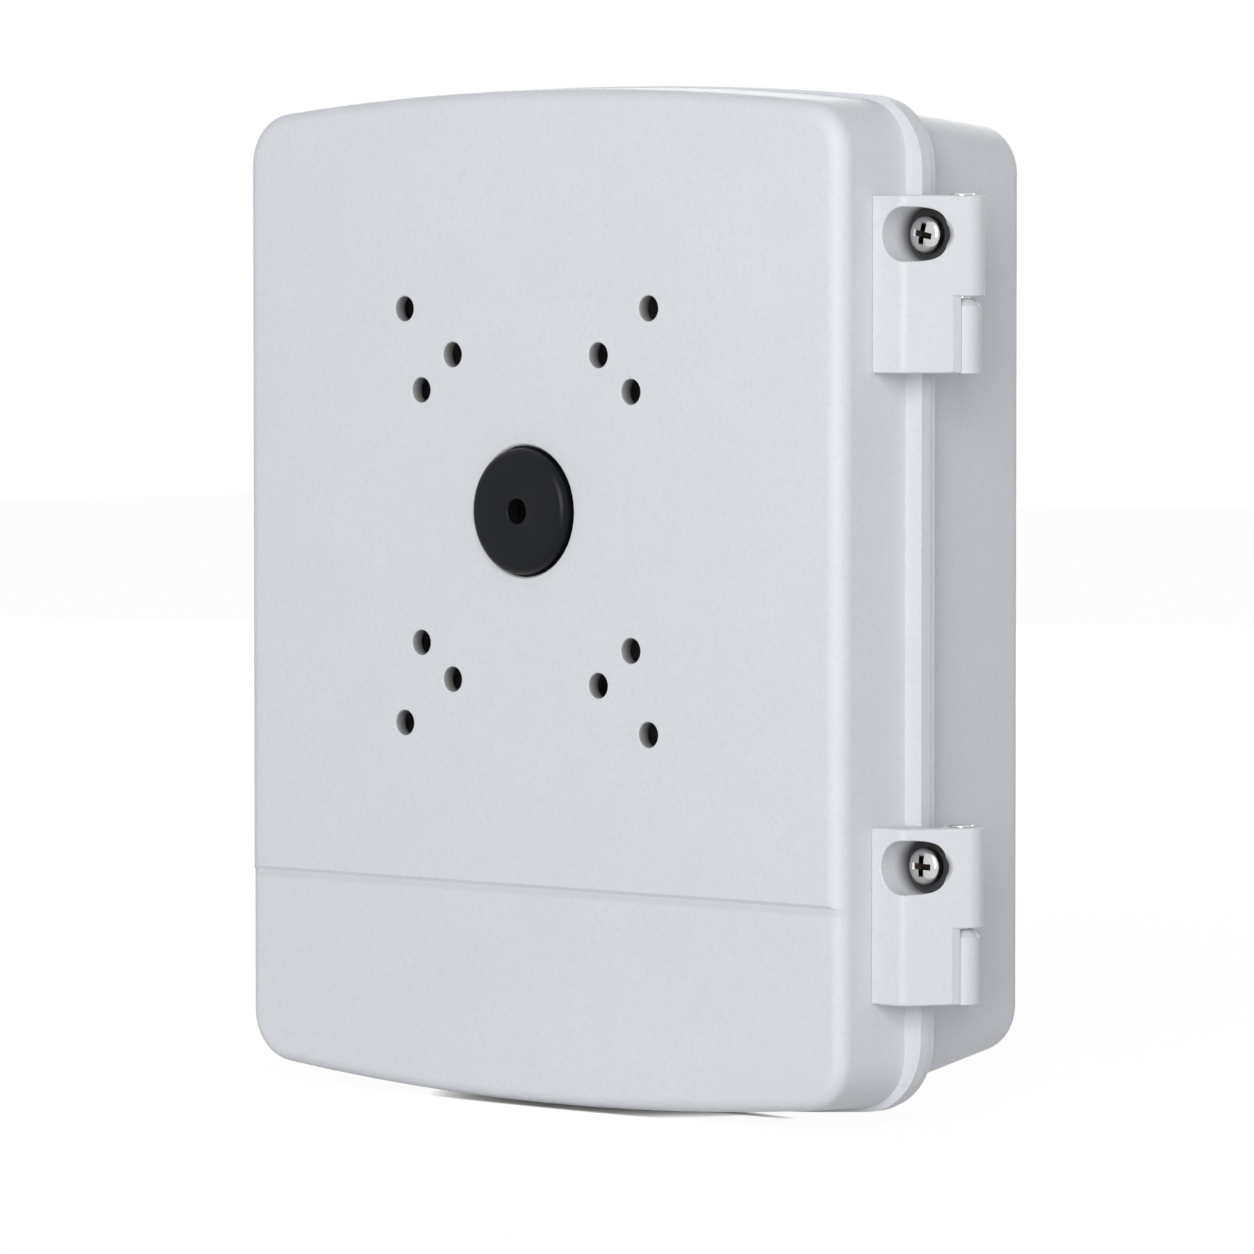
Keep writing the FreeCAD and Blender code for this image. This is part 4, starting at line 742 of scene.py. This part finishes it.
def spring_washer(name, bore, rim, thick, gap):
    """A split ring whose ends stand a little apart."""
    bm = bmesh.new()
    steps = 64
    front = thick * 0.85
    open_angle = gap / rim
    section = ((bore, 0), (rim, 0), (rim, front), (bore, front))
    loops = []
    for step in range(steps + 1):
        turn = math.pi / 2 + open_angle / 2 + (2 * math.pi - open_angle) * step / steps
        lift = thick * 0.12 * step / steps
        loops.append([
            bm.verts.new((radius * math.cos(turn), -(level + lift), radius * math.sin(turn)))
            for radius, level in section
        ])
    span(bm, loops)
    cap(bm, loops)
    return link(name, mesh_from(bm, name))


# What a user would change


class CoatLook(bpy.types.PropertyGroup):
    colour: bpy.props.FloatVectorProperty(
        name="Coat colour", description="Colour of the powder coat", subtype="COLOR", size=3,
        min=0.0, max=1.0, default=(0.695, 0.71, 0.748))
    grain: bpy.props.FloatProperty(
        name="Grain", description="Width of one ripple of the powder coat", subtype="DISTANCE",
        unit="LENGTH", default=1.5 * MM, min=0.2 * MM, max=5.0 * MM)
    depth: bpy.props.FloatProperty(
        name="Depth", description="Depth of the ripples", subtype="DISTANCE", unit="LENGTH",
        default=0.12 * MM, min=0.0, max=0.5 * MM)
    roughness: bpy.props.FloatProperty(
        name="Roughness", description="How matt the coat is", subtype="FACTOR",
        default=0.5, min=0.0, max=1.0)
    casting_edge: bpy.props.FloatProperty(
        name="Edge break", description="Rounding of the cover's and the housing's sharp edges",
        subtype="DISTANCE", unit="LENGTH", default=0.35 * MM, min=0.05 * MM, max=1.0 * MM)
    block_edge: bpy.props.FloatProperty(
        name="Block edge break", description="Rounding of the hinge blocks' sharp edges",
        subtype="DISTANCE", unit="LENGTH", default=0.5 * MM, min=0.05 * MM, max=1.0 * MM)


class FastenerLook(bpy.types.PropertyGroup):
    metal: bpy.props.FloatVectorProperty(
        name="Plating colour", description="Colour of the nickel plating", subtype="COLOR", size=3,
        min=0.0, max=1.0, default=(0.66, 0.655, 0.65))
    spring: bpy.props.FloatVectorProperty(
        name="Spring steel", description="Colour of the spring washers", subtype="COLOR", size=3,
        min=0.0, max=1.0, default=(0.03, 0.03, 0.032))
    side_pitch: bpy.props.FloatProperty(
        name="Side screw pitch", description="Thread pitch of the side screws", subtype="DISTANCE",
        unit="LENGTH", default=0.8 * MM, min=0.3 * MM, max=2.0 * MM)
    plate_pitch: bpy.props.FloatProperty(
        name="Plate screw pitch", description="Thread pitch of the plate screws",
        subtype="DISTANCE", unit="LENGTH", default=0.7 * MM, min=0.3 * MM, max=2.0 * MM)


class PlugLook(bpy.types.PropertyGroup):
    colour: bpy.props.FloatVectorProperty(
        name="Rubber colour", description="Colour of the cable plug", subtype="COLOR", size=3,
        min=0.0, max=1.0, default=(0.0045, 0.0056, 0.0078))
    gloss: bpy.props.FloatProperty(
        name="Rubber gloss", description="How much the rubber reflects", subtype="FACTOR",
        default=0.16, min=0.0, max=1.0)
    rounding: bpy.props.FloatProperty(
        name="Rounding", description="Rounding of the plug's front edge", subtype="DISTANCE",
        unit="LENGTH", default=2.6 * MM, min=0.2 * MM, max=3.0 * MM)
    steps: bpy.props.IntProperty(
        name="Steps", description="Facets round the plug", subtype="UNSIGNED", default=128,
        min=24, max=256)


class StudioLook(bpy.types.PropertyGroup):
    ambient: bpy.props.FloatProperty(
        name="Ambient", description="Strength of the even light", default=0.357, min=0.0, max=3.0)
    sky: bpy.props.FloatVectorProperty(
        name="Ambient colour", description="Colour of the even light", subtype="COLOR", size=3,
        min=0.0, max=1.0, default=(0.912, 0.938, 1.0))
    key: bpy.props.FloatProperty(
        name="Key", description="Power of the main soft light", unit="POWER", default=99.0,
        min=0.0)
    back: bpy.props.FloatProperty(
        name="Back", description="Power of the light behind the box", unit="POWER", default=55.0,
        min=0.0)
    key_colour: bpy.props.FloatVectorProperty(
        name="Key colour", description="Colour of the main light", subtype="COLOR", size=3,
        min=0.0, max=1.0, default=(1.0, 0.998, 0.972))
    key_azimuth: bpy.props.FloatProperty(
        name="Key azimuth", description="Direction of the main light, to the right of the front",
        subtype="ANGLE", unit="ROTATION", default=math.radians(33.0))
    key_elevation: bpy.props.FloatProperty(
        name="Key elevation", description="Height of the main light above the level",
        subtype="ANGLE", unit="ROTATION", default=math.radians(14.0))
    key_distance: bpy.props.FloatProperty(
        name="Key distance", description="Main light to the box's middle", subtype="DISTANCE",
        unit="LENGTH", default=3.6)
    key_size: bpy.props.FloatProperty(
        name="Key size", description="Side of the main light's square", subtype="DISTANCE",
        unit="LENGTH", default=2.4)
    azimuth: bpy.props.FloatProperty(
        name="Azimuth", description="Camera's direction, to the right of the front",
        subtype="ANGLE", unit="ROTATION", default=math.radians(42.243))
    elevation: bpy.props.FloatProperty(
        name="Elevation", description="Camera's height above the level",
        subtype="ANGLE", unit="ROTATION", default=math.radians(2.429))
    distance: bpy.props.FloatProperty(
        name="Distance", description="Camera to the aim point", subtype="DISTANCE", unit="LENGTH",
        default=2.4023)
    lens: bpy.props.FloatProperty(
        name="Lens", description="Focal length, in mm", unit="CAMERA", default=210.12)
    aim_right: bpy.props.FloatProperty(
        name="Aim right", description="Aim point to the right of the front's middle",
        subtype="DISTANCE", unit="LENGTH", default=31.067 * MM)
    aim_up: bpy.props.FloatProperty(
        name="Aim up", description="Aim point above the front's middle", subtype="DISTANCE",
        unit="LENGTH", default=-9.536 * MM)


# Operators


class JBOX_OT_castings(bpy.types.Operator):
    """Coats the cover, the housing and the two hinge blocks"""
    bl_idname = "jbox.castings"
    bl_label = "Castings"

    def execute(self, context):
        look = context.scene.jbox_coat
        coat = powder_coat(look)
        for node, body in (("front_cover", "cover"), ("rear_housing", "housing")):
            finished_copy(node, node + "_casting", coat, look.casting_edge, body)
        for level in ("upper", "lower"):
            node = "hinge_block_" + level
            finished_copy(node, node + "_casting", coat, look.block_edge, "cover",
                          FOLD_ANGLE, pocket_tool(level))
        return {"FINISHED"}


class JBOX_OT_side_screws(bpy.types.Operator):
    """Makes the plated cross-head screws of the hinge blocks and of the closure lugs"""
    bl_idname = "jbox.side_screws"
    bl_label = "Side screws"

    def execute(self, context):
        look = context.scene.jbox_fasteners
        coat = plated_metal("bright_plating", look.metal, roughness=0.2, shade_mask=head_shade)
        head = head_radius()
        height = head * SIDE_HEAD_SHARE
        for kind, seed in (("hinge", 4), ("closure", 9)):
            nodes = [kind + "_screw_upper", kind + "_screw_lower"]
            low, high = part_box(nodes[0])
            reach = high.y - low.y - height
            master = cross_screw(kind + "_master", head, height, SIDE_SHANK, reach,
                                 look.side_pitch)
            fasten(kind + "_screws", master, nodes, height, turn=0.3, seed=seed, coat=coat,
                   body="cover")
        return {"FINISHED"}


class JBOX_OT_spring_washers(bpy.types.Operator):
    """Makes the spring washers under the side screws"""
    bl_idname = "jbox.spring_washers"
    bl_label = "Spring washers"

    def execute(self, context):
        look = context.scene.jbox_fasteners
        coat = plated_metal("spring_steel", look.spring, roughness=0.38)
        nodes = ["hinge_washer_upper", "hinge_washer_lower", "closure_washer_upper",
                 "closure_washer_lower"]
        low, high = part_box(nodes[0])
        thick = high.y - low.y
        rim = half_width(nodes[0])
        master = spring_washer("washer_master", WASHER_BORE, rim, thick, WASHER_GAP)
        fasten("spring_washers", master, nodes, thick, turn=5.0, seed=2, coat=coat,
               body="cover")
        return {"FINISHED"}


class JBOX_OT_hinge_pins(bpy.types.Operator):
    """Finishes the two hinge pins"""
    bl_idname = "jbox.hinge_pins"
    bl_label = "Hinge pins"

    def execute(self, context):
        look = context.scene.jbox_fasteners
        lengthwise = (1.0, 1.0, 6.0)
        coat = plated_metal("pin_plating", look.metal, roughness=0.2, brushing=lengthwise)
        for level in ("upper", "lower"):
            node = "hinge_pin_" + level
            finished_copy(node, node + "_turned", coat, 0.15 * MM, "cover")
        return {"FINISHED"}


class JBOX_OT_cable_plug(bpy.types.Operator):
    """Turns the rubber cable plug and coats the cover's gasket"""
    bl_idname = "jbox.cable_plug"
    bl_label = "Cable plug and gasket"

    def execute(self, context):
        look = context.scene.jbox_plug
        coat = rubber("plug_rubber", look.colour, roughness=0.34, gloss=look.gloss)
        low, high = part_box("cable_plug")
        centre = node_centre("cable_plug")
        edge = look.rounding
        hole = 4.1 * MM
        hole_edge = 0.7 * MM
        face = 20.8 * MM
        neck = 21.55 * MM
        lip = half_width("cable_plug")
        tail = 19.0 * MM
        hollow = 14.0 * MM
        web_back = -5.0 * MM
        cover_front = low.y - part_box("front_cover")[0].y
        neck_start = cover_front - 1.6 * MM
        lip_front = cover_front - 4.62 * MM
        lip_back = lip_front - 3.0 * MM
        tail_end = low.y - high.y
        profile = arc_points((hole + hole_edge, -hole_edge), hole_edge, 180, 90, 5)
        profile += [(face * 0.55, 0.0)]
        profile += arc_points((face - edge, -edge), edge, 90, 0, 10)
        profile += [
            (face, neck_start), (neck, neck_start), (neck, lip_front), (lip, lip_front),
            (lip, lip_back), (tail, tail_end), (hollow, tail_end), (hollow, web_back),
            (hole, web_back),
        ]
        profile.append(profile[0])
        bm = lathe(profile, look.steps)
        bmesh.ops.translate(bm, verts=bm.verts, vec=(centre.x, low.y, centre.z))
        piece = link("moulded_cable_plug", mesh_from(bm, "moulded_cable_plug"))
        dress(piece, coat, "cover", ["cable_plug"])
        recoat("cover_gasket", rubber("seal_rubber", (0.05, 0.05, 0.055), roughness=0.6))
        return {"FINISHED"}


class JBOX_OT_inner_plate(bpy.types.Operator):
    """Finishes the mounting plate, its screws and the earth point"""
    bl_idname = "jbox.inner_plate"
    bl_label = "Mounting plate"

    def execute(self, context):
        look = context.scene.jbox_fasteners
        finished_copy("mounting_plate", "zinc_mounting_plate", zinc_sheet(), 0.2 * MM,
                      "housing")
        coat = plated_metal("plate_plating", look.metal, roughness=0.28)
        for name, node, count in (
            ("plate_screws", "plate_screw_", 4),
            ("terminal_fixing_screws", "terminal_fixing_screw_", 2),
        ):
            nodes = [node + str(number + 1) for number in range(count)]
            low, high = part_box(nodes[0])
            reach = high.y - low.y - PLATE_HEAD_HEIGHT
            master = cross_screw(name + "_master", PLATE_HEAD, PLATE_HEAD_HEIGHT, PLATE_SHANK,
                                 reach, look.plate_pitch)
            fasten(name, master, nodes, PLATE_HEAD_HEIGHT, turn=3.0, seed=11, coat=coat,
                   body="housing")
        brass = plated_metal("plain_brass", BRASS, roughness=0.3)
        for node in ("earth_bolt", "earth_washer", "earth_nut"):
            finished_copy(node, node + "_turned", brass, 0.2 * MM, "housing")
        return {"FINISHED"}


class JBOX_OT_terminal_block(bpy.types.Operator):
    """Finishes the terminal block with its cages and clamp screws"""
    bl_idname = "jbox.terminal_block"
    bl_label = "Terminal block"

    def execute(self, context):
        look = context.scene.jbox_fasteners
        coat = moulded_plastic("terminal_plastic", (0.68, 0.67, 0.62), roughness=0.42)
        finished_copy("terminal_base", "moulded_terminal_base", coat, 0.25 * MM,
                      "housing")
        brass = plated_metal("cage_brass", BRASS, roughness=0.34)
        cages = [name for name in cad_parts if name.startswith("terminal_cage_")]
        for node in cages:
            recoat(node, brass)
        nodes = [cage.replace("cage", "screw") for cage in cages]
        low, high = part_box(nodes[0])
        reach = high.y - low.y - CLAMP_HEAD_HEIGHT
        master = slotted_screw("clamp_master", half_width(nodes[0]), CLAMP_HEAD_HEIGHT,
                               CLAMP_SHANK, reach, CLAMP_SLOT_WIDTH, CLAMP_SLOT_DEPTH)
        plating = plated_metal("clamp_plating", look.metal, roughness=0.3)
        fasten("clamp_screws", master, nodes, CLAMP_HEAD_HEIGHT, turn=3.0, seed=5, coat=plating,
               body="housing")
        return {"FINISHED"}


class JBOX_OT_entry_fittings(bpy.types.Operator):
    """Finishes the blanking plugs, seals and locknuts of the cable entries"""
    bl_idname = "jbox.entry_fittings"
    bl_label = "Cable entries"

    def execute(self, context):
        coat = moulded_plastic("entry_plastic", (0.36, 0.37, 0.39), roughness=0.45)
        seal = rubber("entry_seal_rubber", (0.04, 0.04, 0.045), roughness=0.6)
        rib_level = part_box("entry_plug_1")[0].z + RIB_LEVEL
        places = []
        for number in ("1", "2", "3"):
            for kind in ("plug_", "nut_"):
                node = "entry_" + kind + number
                finished_copy(node, node + "_moulded", coat, 0.3 * MM, "housing")
            recoat("entry_seal_" + number, seal)
            centre = node_centre("entry_plug_" + number)
            places.append(Vector((centre.x, centre.y, rib_level)))
        piece = grown_from(rib_tree(), "entry_grip_ribs", places, {
            "Count": 36, "Reach": 12.75 * MM, "Rib radius": 0.55 * MM, "Rib height": 1.6 * MM,
            "Finish": coat})
        dress(piece, coat, "housing", [])
        return {"FINISHED"}


def direction(turn, lift):
    """From the box towards a place that is turned to the right of its front and lifted."""
    level = math.cos(lift)
    return Vector((math.sin(turn) * level, -math.cos(turn) * level, math.sin(lift)))


class JBOX_OT_stage(bpy.types.Operator):
    """Sets the pale floor, the soft lights and the camera"""
    bl_idname = "jbox.stage"
    bl_label = "Studio"

    def execute(self, context):
        look = context.scene.jbox_studio
        scene = context.scene
        scene.view_settings.view_transform = "Standard"
        self.floor(CAD_BOX[0].z)
        self.world(scene, look)
        self.lights(scene, look)
        self.camera(scene, look)
        return {"FINISHED"}

    def floor(self, level):
        """A wide floor: plain pale for light, and near white with a painted contact shadow when
        seen.
        """
        half = 6.0
        corners = [(-half, -half, level), (half, -half, level), (half, half, level),
                   (-half, half, level)]
        mesh = bpy.data.meshes.new("floor")
        mesh.from_pydata(corners, [], [(0, 1, 2, 3)])
        floor = link("floor", mesh)
        shader = Shader("pale_floor")
        contact = shader.node("ShaderNodeAmbientOcclusion", {"samples": 8}, {"Distance": 2.5 * MM})
        open_sky = Value(shader, contact.outputs["AO"]) ** 2.0
        glow = shader.mix(open_sky, shade(WHITE, 0.03), WHITE)
        seen = shader.node("ShaderNodeEmission", {}, {"Color": glow, "Strength": 0.95})
        faint = self.diffuse(shader, 0.08)
        both = shader.node("ShaderNodeAddShader", {}, {0: faint.outputs[0], 1: seen.outputs[0]})
        self.show(shader, self.diffuse(shader, 0.8), both)
        mesh.materials.append(shader.material)

    def diffuse(self, shader, grey):
        """A plain matt grey."""
        return shader.node("ShaderNodeBsdfDiffuse", {}, {"Color": (*shade(WHITE, grey), 1.0)})

    def show(self, shader, lighting, seen):
        """One look for the light that falls on the box and another for what is seen."""
        shader.finish(shader.node("ShaderNodeMixShader", {}, {
            0: seen_directly(shader), 1: lighting.outputs[0], 2: seen.outputs[0]}))

    def world(self, scene, look):
        """Even light from all round, and plain white where the world is seen."""
        scene.world = bpy.data.worlds.new("studio")
        shader = Shader("studio_light", scene.world)
        lamp = shader.node("ShaderNodeBackground", {}, {
            "Color": (*look.sky, 1.0), "Strength": look.ambient})
        seen = shader.node("ShaderNodeBackground", {}, {"Color": (*WHITE, 1.0)})
        self.show(shader, lamp, seen)

    def lights(self, scene, look):
        """The key light, and a weaker one behind the box."""
        centre = (CAD_BOX[0] + CAD_BOX[1]) / 2
        for name, power, turn in (
            ("key", look.key, look.key_azimuth),
            ("back", look.back, look.key_azimuth + math.pi),
        ):
            data = bpy.data.lights.new(name, "AREA")
            data.shape = "SQUARE"
            data.size = look.key_size
            data.energy = power
            data.color = look.key_colour
            lamp = bpy.data.objects.new(name, data)
            away = direction(turn, look.key_elevation)
            lamp.location = centre + away * look.key_distance
            lamp.rotation_euler = away.to_track_quat("Z", "Y").to_euler()
            scene.collection.objects.link(lamp)

    def camera(self, scene, look):
        """The camera at the photograph's viewing angle."""
        data = bpy.data.cameras.new("camera")
        data.sensor_width = 36.0
        data.lens = look.lens
        data.clip_start = 0.05
        data.clip_end = 50.0
        camera = bpy.data.objects.new("camera", data)
        back = direction(look.azimuth, look.elevation)
        right = Vector((math.cos(look.azimuth), math.sin(look.azimuth), 0.0))
        up = back.cross(right)
        front_middle = Vector((0.0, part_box("front_cover")[0].y, 0.0))
        aim = front_middle + right * look.aim_right + up * look.aim_up
        camera.location = aim + back * look.distance
        camera.rotation_euler = Matrix((right, up, back)).transposed().to_euler()
        scene.collection.objects.link(camera)
        scene.camera = camera


class JBOX_PT_panel(bpy.types.Panel):
    """Lists the sizes and colours of the junction box, its pieces and its studio"""
    bl_label = "Junction box"
    bl_idname = "JBOX_PT_panel"
    bl_space_type = "VIEW_3D"
    bl_region_type = "UI"
    bl_category = "Junction box"

    def draw(self, context):
        for name in GROUPS:
            settings = getattr(context.scene, name)
            for key in settings.__annotations__:
                self.layout.prop(settings, key)
        for operator in OPERATORS:
            self.layout.operator(operator.bl_idname)


GROUPS = {
    "jbox_coat": CoatLook,
    "jbox_fasteners": FastenerLook,
    "jbox_plug": PlugLook,
    "jbox_studio": StudioLook,
}
OPERATORS = (
    JBOX_OT_castings,
    JBOX_OT_side_screws,
    JBOX_OT_spring_washers,
    JBOX_OT_hinge_pins,
    JBOX_OT_cable_plug,
    JBOX_OT_inner_plate,
    JBOX_OT_terminal_block,
    JBOX_OT_entry_fittings,
    JBOX_OT_stage,
)
CLASSES = (*GROUPS.values(), *OPERATORS, JBOX_PT_panel)


def register():
    """Makes the classes and the settings known to Blender."""
    for item in CLASSES:
        bpy.utils.register_class(item)
    for name, group in GROUPS.items():
        setattr(bpy.types.Scene, name, bpy.props.PointerProperty(type=group))


def unregister():
    """Takes the settings and the classes out of Blender again."""
    for name in GROUPS:
        delattr(bpy.types.Scene, name)
    for item in reversed(CLASSES):
        bpy.utils.unregister_class(item)


def main():
    """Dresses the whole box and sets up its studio."""
    register()
    bpy.ops.jbox.castings()
    bpy.ops.jbox.side_screws()
    bpy.ops.jbox.spring_washers()
    bpy.ops.jbox.hinge_pins()
    bpy.ops.jbox.cable_plug()
    bpy.ops.jbox.inner_plate()
    bpy.ops.jbox.terminal_block()
    bpy.ops.jbox.entry_fittings()
    bpy.ops.jbox.stage()


if __name__ == "__main__":
    main()
